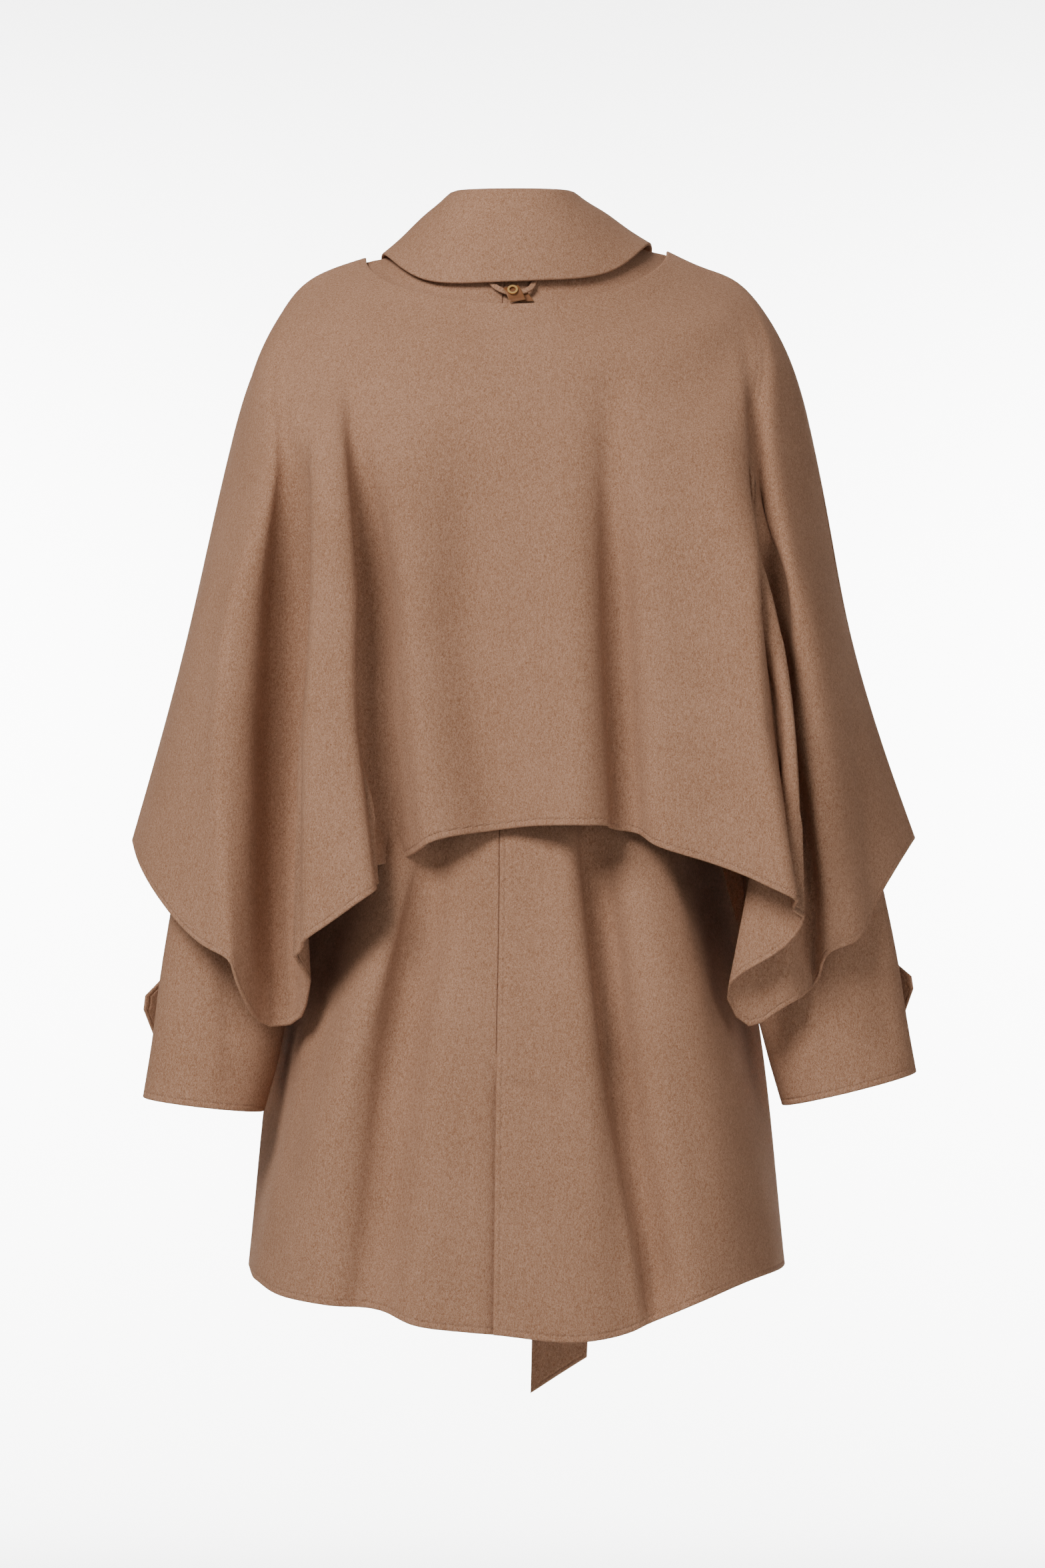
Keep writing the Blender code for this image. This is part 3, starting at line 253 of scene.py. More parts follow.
def coat_levels(face, side=1):
    """Runs of the coat's levels and their points on every rail, level by level."""
    rails = COAT_BACK_RAILS if face == "back" else COAT_FRONT_RAILS
    table = np.array([row[1:] for row in rails], float)
    place = table[:, 0]
    runs, sections = coat_sections(face)
    levels = [ring(section, place, side) for section in sections]
    flat = np.ones(len(table))
    levels.append(np.stack([table[:, 1], table[:, 2], HIP_Z * flat], axis=-1))
    levels.append(np.stack([table[:, 3], table[:, 4], LOW_Z * flat], axis=-1))
    levels.append(table[:, 5:8])
    return np.array(runs + [HIP_RUN, LOW_RUN, HEM_RUN], float), np.stack(levels)


def coat_surface(face, columns, rows, side=1):
    """Outer points of the coat at the columns, in mean distance round it, and the rows."""
    runs, levels = coat_levels(face, side)
    weights = spline_weights(run_of(levels), columns)
    return steady_curve(runs, np.einsum("cr,lrk->lck", weights, levels), rows)


def eased(share):
    """A smooth step from nought to one: three times the share squared less twice its cube."""
    share = np.clip(share, 0, 1)
    return share**2 * (3 - 2 * share)


def edged(start, end, step=WEAVE_STEP):
    """Even places from start to end, no wider apart than a step, crowded where an edge rounds."""
    rim = np.array(RIM_STEPS, float)
    count = int(np.ceil((end - start - 2 * rim[-1]) / step)) + 1
    middle = np.linspace(start + rim[-1], end - rim[-1], count)
    return np.concatenate([start + rim[:-1], middle, end - rim[-2::-1]])


def spans(points):
    """Running distance over the cloth to every point: across from the left, down from the top."""
    across, down = np.zeros(points.shape[:2]), np.zeros(points.shape[:2])
    across[:, 1:] = np.cumsum(np.linalg.norm(np.diff(points, axis=1), axis=2), axis=1)
    down[1:] = np.cumsum(np.linalg.norm(np.diff(points, axis=0), axis=2), axis=0)
    return across, down


def nearest_edge(points, edges):
    """Distance over the cloth to the nearest of the named edges of a grid of points."""
    across, down = spans(points)
    reach = {"left": across, "right": across[:, -1:] - across,
             "top": down, "bottom": down[-1] - down}
    far = np.full(points.shape[:2], FAR)
    return np.minimum.reduce([far] + [reach[edge] for edge in edges])


def line_distance(at, line):
    """Signed distance in a plane from places to a line of points, and how far along it they are.

    On each stretch the nearest place is the projection, held between its ends. The sign is that
    of the cross product of the stretch and the way to the place.
    """
    line = np.asarray(line, float)
    start, step = line[:-1], np.diff(line, axis=0)
    length = np.linalg.norm(step, axis=1)
    way = at[..., None, :] - start
    share = np.clip((way * step).sum(-1) / length**2, 0, 1)
    off = way - share[..., None] * step
    distance = np.linalg.norm(off, axis=-1)
    nearest = distance.argmin(-1)[..., None]
    side = np.sign(step[:, 0] * off[..., 1] - step[:, 1] * off[..., 0])
    gone = np.concatenate([[0], np.cumsum(length)])[:-1] + share * length
    picked = [np.take_along_axis(a, nearest, -1)[..., 0] for a in (distance * side, gone)]
    return picked[0], picked[1] / length.sum()


def creased(points, lift, creases):
    """Points moved out along their normals by soft creases drawn on the view from behind.

    Each crease adds its height times a bell curve of the distance to its line, with one width on
    its left and one on its right. It fades in over the first part of its line and out over the
    last, each as a smooth step. One of face 1 is on cloth that faces the back, and one of face -1
    on cloth that faces the front.
    """
    out = np.zeros(points.shape[:2])
    for _, face, height, left, right, line in creases:
        off, along = line_distance(points[..., [0, 2]], line)
        width = np.where(off > 0, right, left)
        fade = eased(along / FADE_IN) * eased((1 - along) / FADE_OUT)
        facing = np.clip(-2 * face * lift[..., 1], 0, 1)
        out += height * fade * facing * np.exp(-(off / width)**2)
    return points + out[..., None] * lift


def settled(lift, off, target, reach=8):
    """Directions of the wall turned towards a seam's own direction close to the seam."""
    share = np.exp(-(off / reach)**2)[..., None]
    return unit(lift * (1 - share) + target * share)


def add_mesh(name, points, faces):
    """A smooth mesh object of the given faces over points in metres."""
    mesh = bpy.data.meshes.new(name)
    mesh.from_pydata(points.reshape(-1, 3), [], faces)
    mesh.shade_smooth()
    made = bpy.data.objects.new(name, mesh)
    bpy.context.collection.objects.link(made)
    return made


def wall_mesh(name, outer, inner, keep, closed, values):
    """A shell between two grids of points that meet on the border of the kept cells.

    values holds a number for each point of the grid, by name, kept as attributes of the mesh.
    """
    rows, columns = outer.shape[:2]
    joined = np.pad(keep, ((1, 1), (0, 0)))
    joined = np.pad(joined, ((0, 0), (1, 1)), mode="wrap" if closed else "constant")
    around = joined[:-1, :-1] & joined[1:, :-1] & joined[:-1, 1:] & joined[1:, 1:]
    border = ~around[:, :columns]
    front = np.arange(rows * columns).reshape(rows, columns)
    back = np.where(border, front, front + rows * columns)
    right = np.roll(front, -1, axis=1), np.roll(back, -1, axis=1)
    cells = np.nonzero(keep)
    faces = []
    for index, beside in ((front, right[0]), (back, right[1])):
        quad = [index[:-1], index[1:], beside[1:], beside[:-1]]
        faces.append(np.stack([part[:, :keep.shape[1]][cells] for part in quad], axis=1))
    faces = np.concatenate([faces[0], faces[1][:, ::-1]])
    middle = (outer + inner) / 2
    shown = np.where(border[..., None], middle, outer)
    points = np.concatenate([shown.reshape(-1, 3), inner.reshape(-1, 3)]) * MM
    used, faces = np.unique(faces, return_inverse=True)
    faces = faces.reshape(-1, 4)
    points = points[used]
    corner = points[faces] - points.mean(axis=0)
    facing = np.cross(corner[:, 1] - corner[:, 0], corner[:, 3] - corner[:, 0])
    volume = (corner[:, 0] * facing).sum()
    if volume < 0:
        faces = faces[:, ::-1]
    made = add_mesh(name, points, faces)
    for key, value in values.items():
        layer = made.data.attributes.new(key, "FLOAT", "POINT")
        layer.data.foreach_set("value", np.tile(value.ravel(), 2)[used].astype(np.float32))
    return made


def cloth(name, points, lift, finished=(), closed=False, keep=None, rim=None, depth=CLOTH):
    """A piece of cloth: its wall, with cut edges rounded over, and its distances to finished edges.

    Near an edge the wall's half thickness is that of a half circle as wide as the wall.
    """
    if keep is None:
        keep = np.ones((points.shape[0] - 1, points.shape[1] - (0 if closed else 1)), bool)
    if rim is None:
        sides = ("top", "bottom") if closed else ("left", "right", "top", "bottom")
        rim = nearest_edge(points, sides)
    half = depth / 2
    short = 1 - np.clip(rim / half, 0, 1)
    round_over = (half * (1 - np.sqrt(1 - short**2)))[..., None] * lift
    outer, inner = points - round_over, points - depth * lift + round_over
    across, down = spans(points)
    hem = nearest_edge(points, finished)
    values = {"hem_mm": hem, "across_mm": across, "down_mm": down}
    piece = wall_mesh(name, outer, inner, keep, closed, values)
    piece.data.materials.append(wool)
    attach(piece, "root")
    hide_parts(name.removeprefix("shown_"))
    return piece


# The wool's nap, in its tone, where 0.5 is the middle: the weights of its fibres, its fluff and its
# cloud, what the pale hairs add on average, and the least noise that makes a hair.
FIBRE_TONE, FLUFF_TONE, CLOUD_TONE, HAIR_TONE = 3.2, 0.8, 0.36, 3.0
HAIR_MEAN, HAIR_LEAST = 0.05, 0.56
FIBRE_HEIGHT, FLUFF_HEIGHT = 0.8, 0.6
EDGE_STITCH = 5.0          # from a finished edge to its row of hand stitches
EDGE_STITCH_WIDTH = 1.1
STITCH_PITCH, STITCH_DEPTH = 6.0, 0.35


def add_node(tree, kind, values, **settings):
    """A node with its settings, and its inputs by name: numbers and colours, or outputs to link."""
    made = tree.nodes.new(kind)
    for name, setting in settings.items():
        setattr(made, name, setting)
    for name, value in values.items():
        if isinstance(value, bpy.types.NodeSocket):
            tree.links.new(value, made.inputs[name])
        else:
            made.inputs[name].default_value = value
    return made


def add_material(name, values):
    """A material with the inputs of its shader given, its node tree and its shader."""
    made = bpy.data.materials.new(name)
    made.use_nodes = True
    shader = made.node_tree.nodes["Principled BSDF"]
    for key, value in values.items():
        shader.inputs[key].default_value = value
    return made, made.node_tree, shader


def add_bump(tree, shader, height, strength, distance):
    """Bump of the height, in metres, on the shader's normal."""
    bump = add_node(tree, "ShaderNodeBump",
                    {"Strength": strength, "Distance": distance, "Height": height})
    tree.links.new(bump.outputs["Normal"], shader.inputs["Normal"])


def add_nap_group():
    """Brushed wool: a soft cloud of colour over short fibres combed down the cloth.

    Tone is 0.5 plus weighted, centred noises of three sizes, plus pale hairs where a long thin
    noise is high. Height adds the fine noise to the fibres, takes a groove along the finished
    edges, a bell curve of the distance to the edge, and adds the small dimples of the hand
    stitches in that groove.
    """
    group = bpy.data.node_groups.new("brushed_nap", "ShaderNodeTree")
    for in_out, names in (("INPUT", ("Fibre Scale", "Cloud Scale", "Groove")),
                          ("OUTPUT", ("Tone", "Height"))):
        for name in names:
            group.interface.new_socket(name=name, in_out=in_out, socket_type="NodeSocketFloat")
    given, put_out = group.nodes.new("NodeGroupInput"), group.nodes.new("NodeGroupOutput")
    where = group.nodes.new("ShaderNodeTexCoord").outputs["Object"]
    combed = add_node(group, "ShaderNodeMapping", {"Scale": (1.0, 1.0, 0.45), "Vector": where})
    strands = add_node(group, "ShaderNodeMapping", {"Rotation": (0.0, 0.15, 0.0),
                                                    "Scale": (1.0, 1.0, 0.2), "Vector": where})

    def noise(source, scale, factor, detail, distortion):
        made = add_node(group, "ShaderNodeTexNoise",
                        {"Detail": detail, "Distortion": distortion, "Vector": source,
                         "Scale": maths("MULTIPLY", scale, factor)})
        return made.outputs["Fac"]

    def maths(operation, first, second=0.0, third=0.0):
        values = dict(enumerate((first, second, third)))
        return add_node(group, "ShaderNodeMath", values, operation=operation).outputs[0]

    def attribute(name):
        return add_node(group, "ShaderNodeAttribute", {}, attribute_name=name).outputs["Fac"]

    fibre_scale, cloud_scale = given.outputs["Fibre Scale"], given.outputs["Cloud Scale"]
    fibres = noise(combed.outputs["Vector"], fibre_scale, 1.0, 4.0, 1.2)
    fluff = noise(combed.outputs["Vector"], fibre_scale, 0.36, 4.0, 0.6)
    cloud = noise(where, cloud_scale, 1.0, 3.0, 0.3)
    hairs = noise(strands.outputs["Vector"], fibre_scale, 1.6, 2.0, 2.0)
    hairs = maths("MAXIMUM", maths("SUBTRACT", hairs, HAIR_LEAST), 0.0)
    middle = 0.5 - FIBRE_TONE / 2 - FLUFF_TONE / 2 - CLOUD_TONE / 2 - HAIR_MEAN
    tone = maths("MULTIPLY_ADD", fibres, FIBRE_TONE, middle)
    tone = maths("MULTIPLY_ADD", fluff, FLUFF_TONE, tone)
    tone = maths("MULTIPLY_ADD", cloud, CLOUD_TONE, tone)
    tone = maths("ADD", tone, maths("MULTIPLY", hairs, HAIR_TONE))
    off = maths("SUBTRACT", attribute("hem_mm"), EDGE_STITCH)
    off = maths("DIVIDE", off, EDGE_STITCH_WIDTH)
    bell = maths("EXPONENT", maths("MULTIPLY", maths("MULTIPLY", off, off), -1.0))
    along = maths("ADD", attribute("across_mm"), attribute("down_mm"))
    beat = maths("SINE", maths("MULTIPLY", along, 2 * np.pi / STITCH_PITCH))
    dimple = maths("MULTIPLY_ADD", maths("MULTIPLY", bell, beat), STITCH_DEPTH, bell)
    groove = maths("MULTIPLY", dimple, given.outputs["Groove"])
    raised = maths("MULTIPLY_ADD", fluff, FLUFF_HEIGHT, maths("MULTIPLY", fibres, FIBRE_HEIGHT))
    group.links.new(tone, put_out.inputs["Tone"])
    group.links.new(maths("SUBTRACT", raised, groove), put_out.inputs["Height"])
    return group


def add_wool():
    """The coat's wool: camel brown, matt, with a soft sheen at grazing angles."""
    made, tree, shader = add_material("camel_wool", {
        "Roughness": 0.92, "Specular IOR Level": 0.03, "Sheen Weight": 0.05,
        "Sheen Roughness": 0.45, "Sheen Tint": (0.72, 0.58, 0.48, 1.0)})
    nap = tree.nodes.new("ShaderNodeGroup")
    nap.node_tree = add_nap_group()
    for name, value in (("Fibre Scale", 1500.0), ("Cloud Scale", 14.0), ("Groove", 0.9)):
        nap.inputs[name].default_value = value
    colour = add_node(tree, "ShaderNodeMix", {"A": WOOL_DARK, "B": WOOL_LIGHT,
                                              "Factor": nap.outputs["Tone"]}, data_type="RGBA")
    tree.links.new(colour.outputs["Result"], shader.inputs["Base Color"])
    add_bump(tree, shader, nap.outputs["Height"], 0.7, 0.0009)
    return made


wool = add_wool()

# Small soft creases on the coat's back below the cape, over the main folds:
# name, face (1 back, -1 front), height, width to the left, width to the right, line x z
COAT_CREASES = [
    ("left fold of the skirt", 1, -11.0, 18, 30,
     [(-60, -440), (-68, -498), (-79, -564), (-87, -618), (-98, -673), (-106, -727), (-117, -809),
      (-128, -875), (-136, -950)]),
    ("outer left fold", 1, -7.0, 14, 16,
     [(-150, -520), (-157, -592), (-173, -675), (-190, -719), (-206, -796)]),
    ("right fold's crest", 1, 4.0, 26, 4,
     [(45, -430), (51, -498), (56, -553), (62, -607), (67, -662), (75, -716), (85, -771),
      (98, -841), (108, -920)]),
    ("right fold's valley", 1, -18.0, 6, 26,
     [(53, -430), (59, -498), (64, -553), (70, -607), (75, -662), (83, -716), (93, -771),
      (106, -841), (116, -920)]),
    ("short right fold", 1, -5.0, 8, 12,
     [(130, -470), (140, -515), (154, -559), (165, -608), (172, -660)]),
    ("seam pull upper", 1, -0.9, 6, 6, [(-14, -500), (-17, -600), (-18, -700)]),
    ("hollow above the cape's neckline", 1, -3.0, 5, 8,
     [(-180, 40), (-140, 12), (-123, -7), (-102, -23), (-75, -33), (-43, -40), (-3, -42),
      (38, -37), (78, -32), (105, -23), (129, 1), (160, 40)]),
    ("tack across the vent's top", 1, -2.2, 3, 3, [(-14, -688), (5, -693), (25, -700)]),
    ("pucker at the tack's end", 1, -4.0, 3, 3, [(26, -698), (35, -706)]),
    ("left crest break", 1, 1.2, 12, 16, [(-150, -640), (-168, -760), (-190, -860)]),
    ("right crest break", 1, 1.4, 14, 18, [(136, -600), (158, -740), (180, -850)]),
]

# The back panels meet in the centre seam, which is open below the hips as a vent: there the left
# panel dips and reaches under the right one.
back_rows = edged(0, HEM_RUN)
back_knots = run_of(coat_levels("back")[1])
seam_place = back_knots[CENTRE_SEAM]


def across_side(lift):
    """Directions turned to lie across y, as both panels' rims do at a side seam."""
    return unit(lift * np.array([1.0, 0.0, 1.0]))


def across_middle(lift):
    """Directions turned to lie across x, as both panels' rims do at the centre seam."""
    return unit(lift * np.array([0.0, 1.0, 1.0]))


def armhole_reach(rows):
    """One on the shoulder and side seams and nought round the armhole, along a panel's side."""
    inside = (rows > TIP_RUN) & (rows < BUST_RUN)
    return np.where(inside, 0.0, 1.0)


def side_settled(points, lift, edge, rows):
    """A panel's wall directions with its side edge's rim laid across y at the seams."""
    across = spans(points)[0]
    off = across if edge == "left" else across[:, -1:] - across
    target = across_side(lift[:, :1] if edge == "left" else lift[:, -1:])
    seam = armhole_reach(rows)[:, None]
    return settled(lift, off + FAR * (1 - seam), target)


def back_panel(columns):
    """Points and wall directions of the coat's back at some columns, creases and all."""
    points = coat_surface("back", columns, back_rows)
    points = creased(points, normals_of(points), COAT_CREASES)
    return points, normals_of(points)


right_columns = edged(seam_place, back_knots[-1])
right_points, right_lift = back_panel(right_columns)
right_lift = side_settled(right_points, right_lift, "right", back_rows)
off_seam = spans(right_points)[0]
right_lift = settled(right_lift, off_seam, across_middle(right_lift[:, :1]))
right_points = pull_in(right_points, SEAM_SHOWN, left=True, right=True, top=True)
coat_back_right = cloth("shown_coat_back_right", right_points, right_lift, ("left", "bottom"))

left_columns = np.concatenate([edged(0, seam_place)[:-1],
                               edged(seam_place, seam_place + VENT_WIDTH)])
left_points, left_lift = back_panel(left_columns)
at_seam = int(np.argmin(np.abs(left_columns - seam_place)))
opened = back_rows > VENT_TOP_RUN
across = spans(left_points)[0]
past_seam = across - across[:, at_seam:at_seam + 1]
left_lift = side_settled(left_points, left_lift, "left", back_rows)
left_lift = np.where(opened[:, None, None], left_lift,
                     settled(left_lift, past_seam,
                             across_middle(left_lift[:, at_seam:at_seam + 1])))
dip = VENT_DEPTH * eased(1 + past_seam / LAP_RUN)
dip *= np.clip((back_rows - VENT_TOP_RUN) / VENT_DIP_RUN, 0, 1)[:, None]
left_points = pull_in(left_points, SEAM_SHOWN, left=True, top=True) - dip[..., None] * left_lift
keep = np.ones((len(back_rows) - 1, len(left_columns) - 1), bool)
keep[~opened[:-1], at_seam:] = False
down = spans(left_points)[1]
vent_row = int(np.argmax(opened)) - 1
rim = np.minimum.reduce([across, down[-1] - down, down])
right_edge = np.where(opened[:, None], across[:, -1:] - across, -past_seam)
rim = np.minimum(rim, right_edge)
rim = np.where((past_seam > 0) & opened[:, None], np.minimum(rim, down - down[vent_row]), rim)
coat_back_left = cloth("shown_coat_back_left", left_points, left_lift, ("bottom",), keep=keep,
                       rim=rim)

# The fronts: mirror images, and the right one laps over the left one at the centre.
for side, side_name in ((1, "right"), (-1, "left")):
    knots = run_of(coat_levels("front", side)[1])
    columns = edged(0, knots[-1])
    points = coat_surface("front", columns, back_rows, side)
    lift = normals_of(points)
    lift = side_settled(points, lift, "left", back_rows)
    outer = pull_in(points, SEAM_SHOWN, left=True, top=True)
    if side == -1:
        lap_start = knots[CENTRE_FRONT - 1] - 2 * LAP_RUN
        under = LAP_DEPTH * eased((columns - lap_start) / LAP_RUN)
        outer = outer - under[None, :, None] * lift
    mirror = np.array([side, 1, 1])
    coat_front = cloth("shown_coat_front_" + side_name, outer * mirror, lift * mirror,
                       ("right", "bottom"))

# The sleeves: wide tubes set into the armholes, of one panel each.
# Sections of the sleeves below the armhole: name, run down the cloth,
# left outer x, left outer z, left inner x, left inner z, the same four for the right sleeve,
# axis y, half depth back, half depth front
SLEEVE_SECTIONS = [
    ("cap", 34, 203, -68, 173, -251, 206, -68, 173, -251, -7, 58, 49),
    ("biceps", 70, 225, -140, 177, -263, 229, -140, 177, -263, -9, 56, 48),
    ("upper arm", 120, 244, -235, 180, -300, 249, -235, 180, -300, -12, 53, 47),
    ("elbow", 235, 262, -350, 183, -385, 270, -350, 183, -385, -17, 50, 47),
    ("forearm", 370, 281, -490, 187, -505, 299, -490, 189, -505, -28, 46, 45),
    ("tab top", 480, 300, -613, 191, -622, 321, -598, 198, -620, -35, 44, 44),
    ("tab bottom", 528, 306, -661, 198, -669, 328, -644, 209, -668, -37, 44, 44),
    ("cuff", 580, 314, -710, 212, -722, 336, -689, 223, -717, -38, 44, 43),
]
SLEEVE_TURNS = 96                          # columns of the mesh round a sleeve
SLEEVE_SIDES = 16                          # parts of the way round, which the tabs are placed by
TAB_FIRST_SIDE, TAB_LAST_SIDE = 11, 14     # where the tab lies on the sleeve's front
TAB_RUNS = (480, 528)                      # its top and bottom edges, down the sleeve
TAB_COLUMNS = 28
# The tab's free end past the sleeve: reach, how far it is raised, share of its full width
TAB_END = [("root", 10, 0, 1.02), ("shoulder", 18, 1, 1.06), ("point", 33, 5, 0.24)]


def ring_normals(points):
    """Outward unit normals of a tube whose columns close on themselves."""
    down = np.gradient(points, axis=0)
    across = np.roll(points, -1, axis=1) - np.roll(points, 1, axis=1)
    normals = unit(np.cross(across, down))
    away = points - points.mean(axis=1, keepdims=True)
    return normals * np.sign((normals * away).sum())


def armhole_ring(side, angles):
    """The armhole seam at angles round it, from the ends of the panels' rows.

    The panels' side edges are read between the shoulder tip and the bust at the runs that the
    armhole's steps give, the back one going down and the front one coming up.
    """
    known = [0] + [step[1] for step in ARMHOLE_STEPS] + [180]
    runs = [TIP_RUN] + [step[2] for step in ARMHOLE_STEPS] + [BUST_RUN]
    folded = np.where(angles > 180, 360 - angles, angles)
    rows = np.interp(folded, known, runs)
    back_end = back_knots[-1] if side == 1 else 0.0
    back = coat_surface("back", np.array([back_end]), rows)[:, 0] * np.array([side, 1, 1])
    front = coat_surface("front", np.array([0.0]), rows, side)[:, 0]
    return np.where((angles > 180)[:, None], front, back)


def sleeve_surface(side, turns, rows):
    """Rings of one sleeve at angles in degrees round it and rows down it.

    Each section is an ellipse whose back and front halves have their own depths: its middle plus
    half its width times the cosine, and its depth times the sine.
    """
    turn = np.radians(turns)
    rings, runs = [armhole_ring(side, turns)], [0.0]
    first = 6 if side == 1 else 2
    for row in SLEEVE_SECTIONS:
        outer = np.array([row[first], row[10], row[first + 1]], float)
        inner = np.array([row[first + 2], row[10], row[first + 3]], float)
        depth = np.where(np.sin(turn) > 0, row[11], row[12])
        points = (outer + inner) / 2 + np.cos(turn)[:, None] * (outer - inner) / 2
        points[:, 1] -= depth * np.sin(turn)
        rings.append(points)
        runs.append(row[1])
    return steady_curve(runs, np.stack(rings), rows)


# name, face, height, width to the left, width to the right, line x z
SLEEVE_CREASES = [
    ("left long fold", 1, -3.2, 10, 22, [(-246, -500), (-240, -600), (-236, -720)]),
    ("left outer swell", 1, 1.6, 16, 16, [(-286, -560), (-292, -700)]),
    ("left elbow drag", 1, -1.5, 9, 9, [(-268, -545), (-240, -575), (-210, -585)]),
    ("right back seam", 1, -1.6, 3, 3, [(246, -560), (254, -640), (258, -705)]),
    ("right long fold", 1, -2.4, 18, 10, [(286, -520), (300, -600), (312, -680)]),
    ("right inner drag", 1, -1.4, 9, 9, [(214, -560), (240, -590), (262, -596)]),
    ("left front fold", -1, -2.4, 16, 16, [(-240, -460), (-250, -690)]),
    ("right front fold", -1, -2.4, 16, 16, [(240, -460), (262, -690)]),
]
sleeve_rows = edged(0, SLEEVE_SECTIONS[-1][1])
sleeve_turns = np.linspace(0, 360, SLEEVE_TURNS, endpoint=False)
for side, side_name in ((1, "right"), (-1, "left")):
    mirror = np.array([side, 1, 1])
    points = sleeve_surface(side, sleeve_turns, sleeve_rows) * mirror
    lift = ring_normals(points)
    points = creased(points, lift, SLEEVE_CREASES)
    lift = ring_normals(points)
    outer = points.copy()
    outer[0] += SEAM_GAP * unit(points[1] - points[0])
    sleeve = cloth("shown_sleeve_" + side_name, outer, lift, ("bottom",), closed=True)

# The cuff tabs: a strap on each sleeve's front, whose pointed end stands free past the outer side.
for side, side_name in ((1, "right"), (-1, "left")):
    mirror = np.array([side, 1, 1])
    turn_step = 360 / SLEEVE_SIDES
    sides = np.linspace(TAB_FIRST_SIDE, TAB_LAST_SIDE, TAB_COLUMNS) * turn_step
    rows = edged(*TAB_RUNS, 3.0)
    under = sleeve_surface(side, sides, rows) * mirror
    under_lift = ring_normals(sleeve_surface(side, sleeve_turns, rows) * mirror)
    picked = np.clip(np.searchsorted(sleeve_turns, sides), 0, len(sleeve_turns) - 1)
    lift = under_lift[:, picked]
    on_sleeve = under + SEAM_GAP * lift
    heading = unit(on_sleeve[:, -1] - on_sleeve[:, -2])
    middle = (on_sleeve[0, -1] + on_sleeve[-1, -1]) / 2
    upward = unit(on_sleeve[0, -1] - on_sleeve[-1, -1])
    reaches = [0.0] + [row[1] for row in TAB_END]
    free_reach = np.concatenate([np.linspace(0, reaches[-1] - 2.6, 10)[1:],
                                 reaches[-1] - np.array([1.4, 0.7, 0.2, 0])])
    free_raised = np.interp(free_reach, reaches, [0.0] + [row[2] for row in TAB_END])
    free_share = np.interp(free_reach, reaches, [1.0] + [row[3] for row in TAB_END])
    free = [middle + (on_sleeve[:, -1] - middle) * share + reach * heading + raised * upward
            for reach, raised, share in zip(free_reach, free_raised, free_share)]
    inner = np.concatenate([on_sleeve, np.stack(free, axis=1)], axis=1)
    out = np.concatenate([lift] + [lift[:, -1:]] * len(free), axis=1)
    tab = cloth("shown_sleeve_tab_" + side_name, inner + CLOTH * out, out,
                ("left", "right", "top", "bottom"))

# The turn-down collar: stand and leaf in one folded piece, with soft turned edges.
# Stations of the collar from the nape round to one front end:
# name, share of the way round, neck x y z, fold-over x y z, edge x y z
COLLAR_STATIONS = [
    ("nape", 0.0, 0, -64, 8, 0, -66, 50, 0, -91, -30),
    ("back", 0.25, 55, -46, 10, 42, -50, 51, 80, -66, -25),
    ("shoulder", 0.5, 80, -2, 10, 57, -6, 47, 115, 0, 1),
    ("front", 0.75, 58, 41, -24, 48, 36, 14, 97, 76, -52),
    ("front end", 1.0, 7, 62, -61, 9, 62, -28, 34, 112, -104),
]
COLLAR_RAISE = 5       # the right shoulder of the collar lies higher
LEAF_RAISE = 1.8       # the leaf more than the stand, as a multiple
COLLAR_NARROW = 7      # and the fold nearer the neck
COLLAR_ROW = 3.0       # widest row of the collar's mesh
COLLAR_COLUMNS = 150   # between the finer columns where its two ends round over
COLLAR_RIM = 1 - np.array([0.015, 0.008, 0.004, 0.0015, 0])    # places of those finer columns
# Profile of the collar: name, share from neck to fold or from fold to edge, outward, upward, part
COLLAR_PROFILE = [
    ("neck", 0.0, 0, 0, "stand"),
    ("stand", 0.5, -3, 0, "stand"),
    ("fold inside", 1.0, -6, -6, "stand"),
    ("fold top", 0.0, 0, 0, "leaf"),
    ("fold outside", 0.06, 2, 0, "leaf"),
    ("leaf upper", 0.35, 2, 1, "leaf"),
    ("leaf lower", 0.7, 0.5, 0, "leaf"),
    ("edge", 1.0, 0, 0, "leaf"),
]


def collar_surface(columns):
    """Shown face of the collar, from the inside of the neck over the fold to the leaf's edge."""
    table = np.array([row[1:] for row in COLLAR_STATIONS], float)
    mirrored = table[:0:-1] * np.array([-1, -1, 1, 1, -1, 1, 1, -1, 1, 1])
    table = np.concatenate([mirrored, table])
    read = spline_weights(table[:, 0], columns) @ table[:, 1:]
    neck, fold, edge = read[:, 0:3], read[:, 3:6], read[:, 6:9]
    lift = COLLAR_RAISE * np.sin(np.clip(columns, 0, 1) * np.pi)
    neck[:, 2] += lift
    edge[:, 2] += LEAF_RAISE * lift
    fold[:, 0] -= COLLAR_NARROW * lift / COLLAR_RAISE
    outward = unit((edge - fold) * np.array([1, 1, 0]))
    neck = neck - CLOTH * outward + np.array([0, 0, SEAM_GAP])
    rows = []
    for _, share, out, up, part in COLLAR_PROFILE:
        start, end = (neck, fold) if part == "stand" else (fold, edge)
        offset = out * outward + np.array([0, 0, up])
        rows.append(start + (end - start) * share + offset)
    return np.stack(rows)


collar_columns = np.concatenate([-COLLAR_RIM[:0:-1],
                                 np.linspace(-COLLAR_RIM[0], COLLAR_RIM[0], COLLAR_COLUMNS),
                                 COLLAR_RIM[1:]])
collar_lines = collar_surface(collar_columns)
collar_knots = run_of(np.swapaxes(collar_lines, 0, 1))
collar_places = edged(0, collar_knots[-1], COLLAR_ROW)
collar_points = np.einsum("pr,rck->pck", spline_weights(collar_knots, collar_places), collar_lines)
collar_lift = normals_of(collar_points)
collar = cloth("shown_collar", collar_points, collar_lift, ("left", "right"))

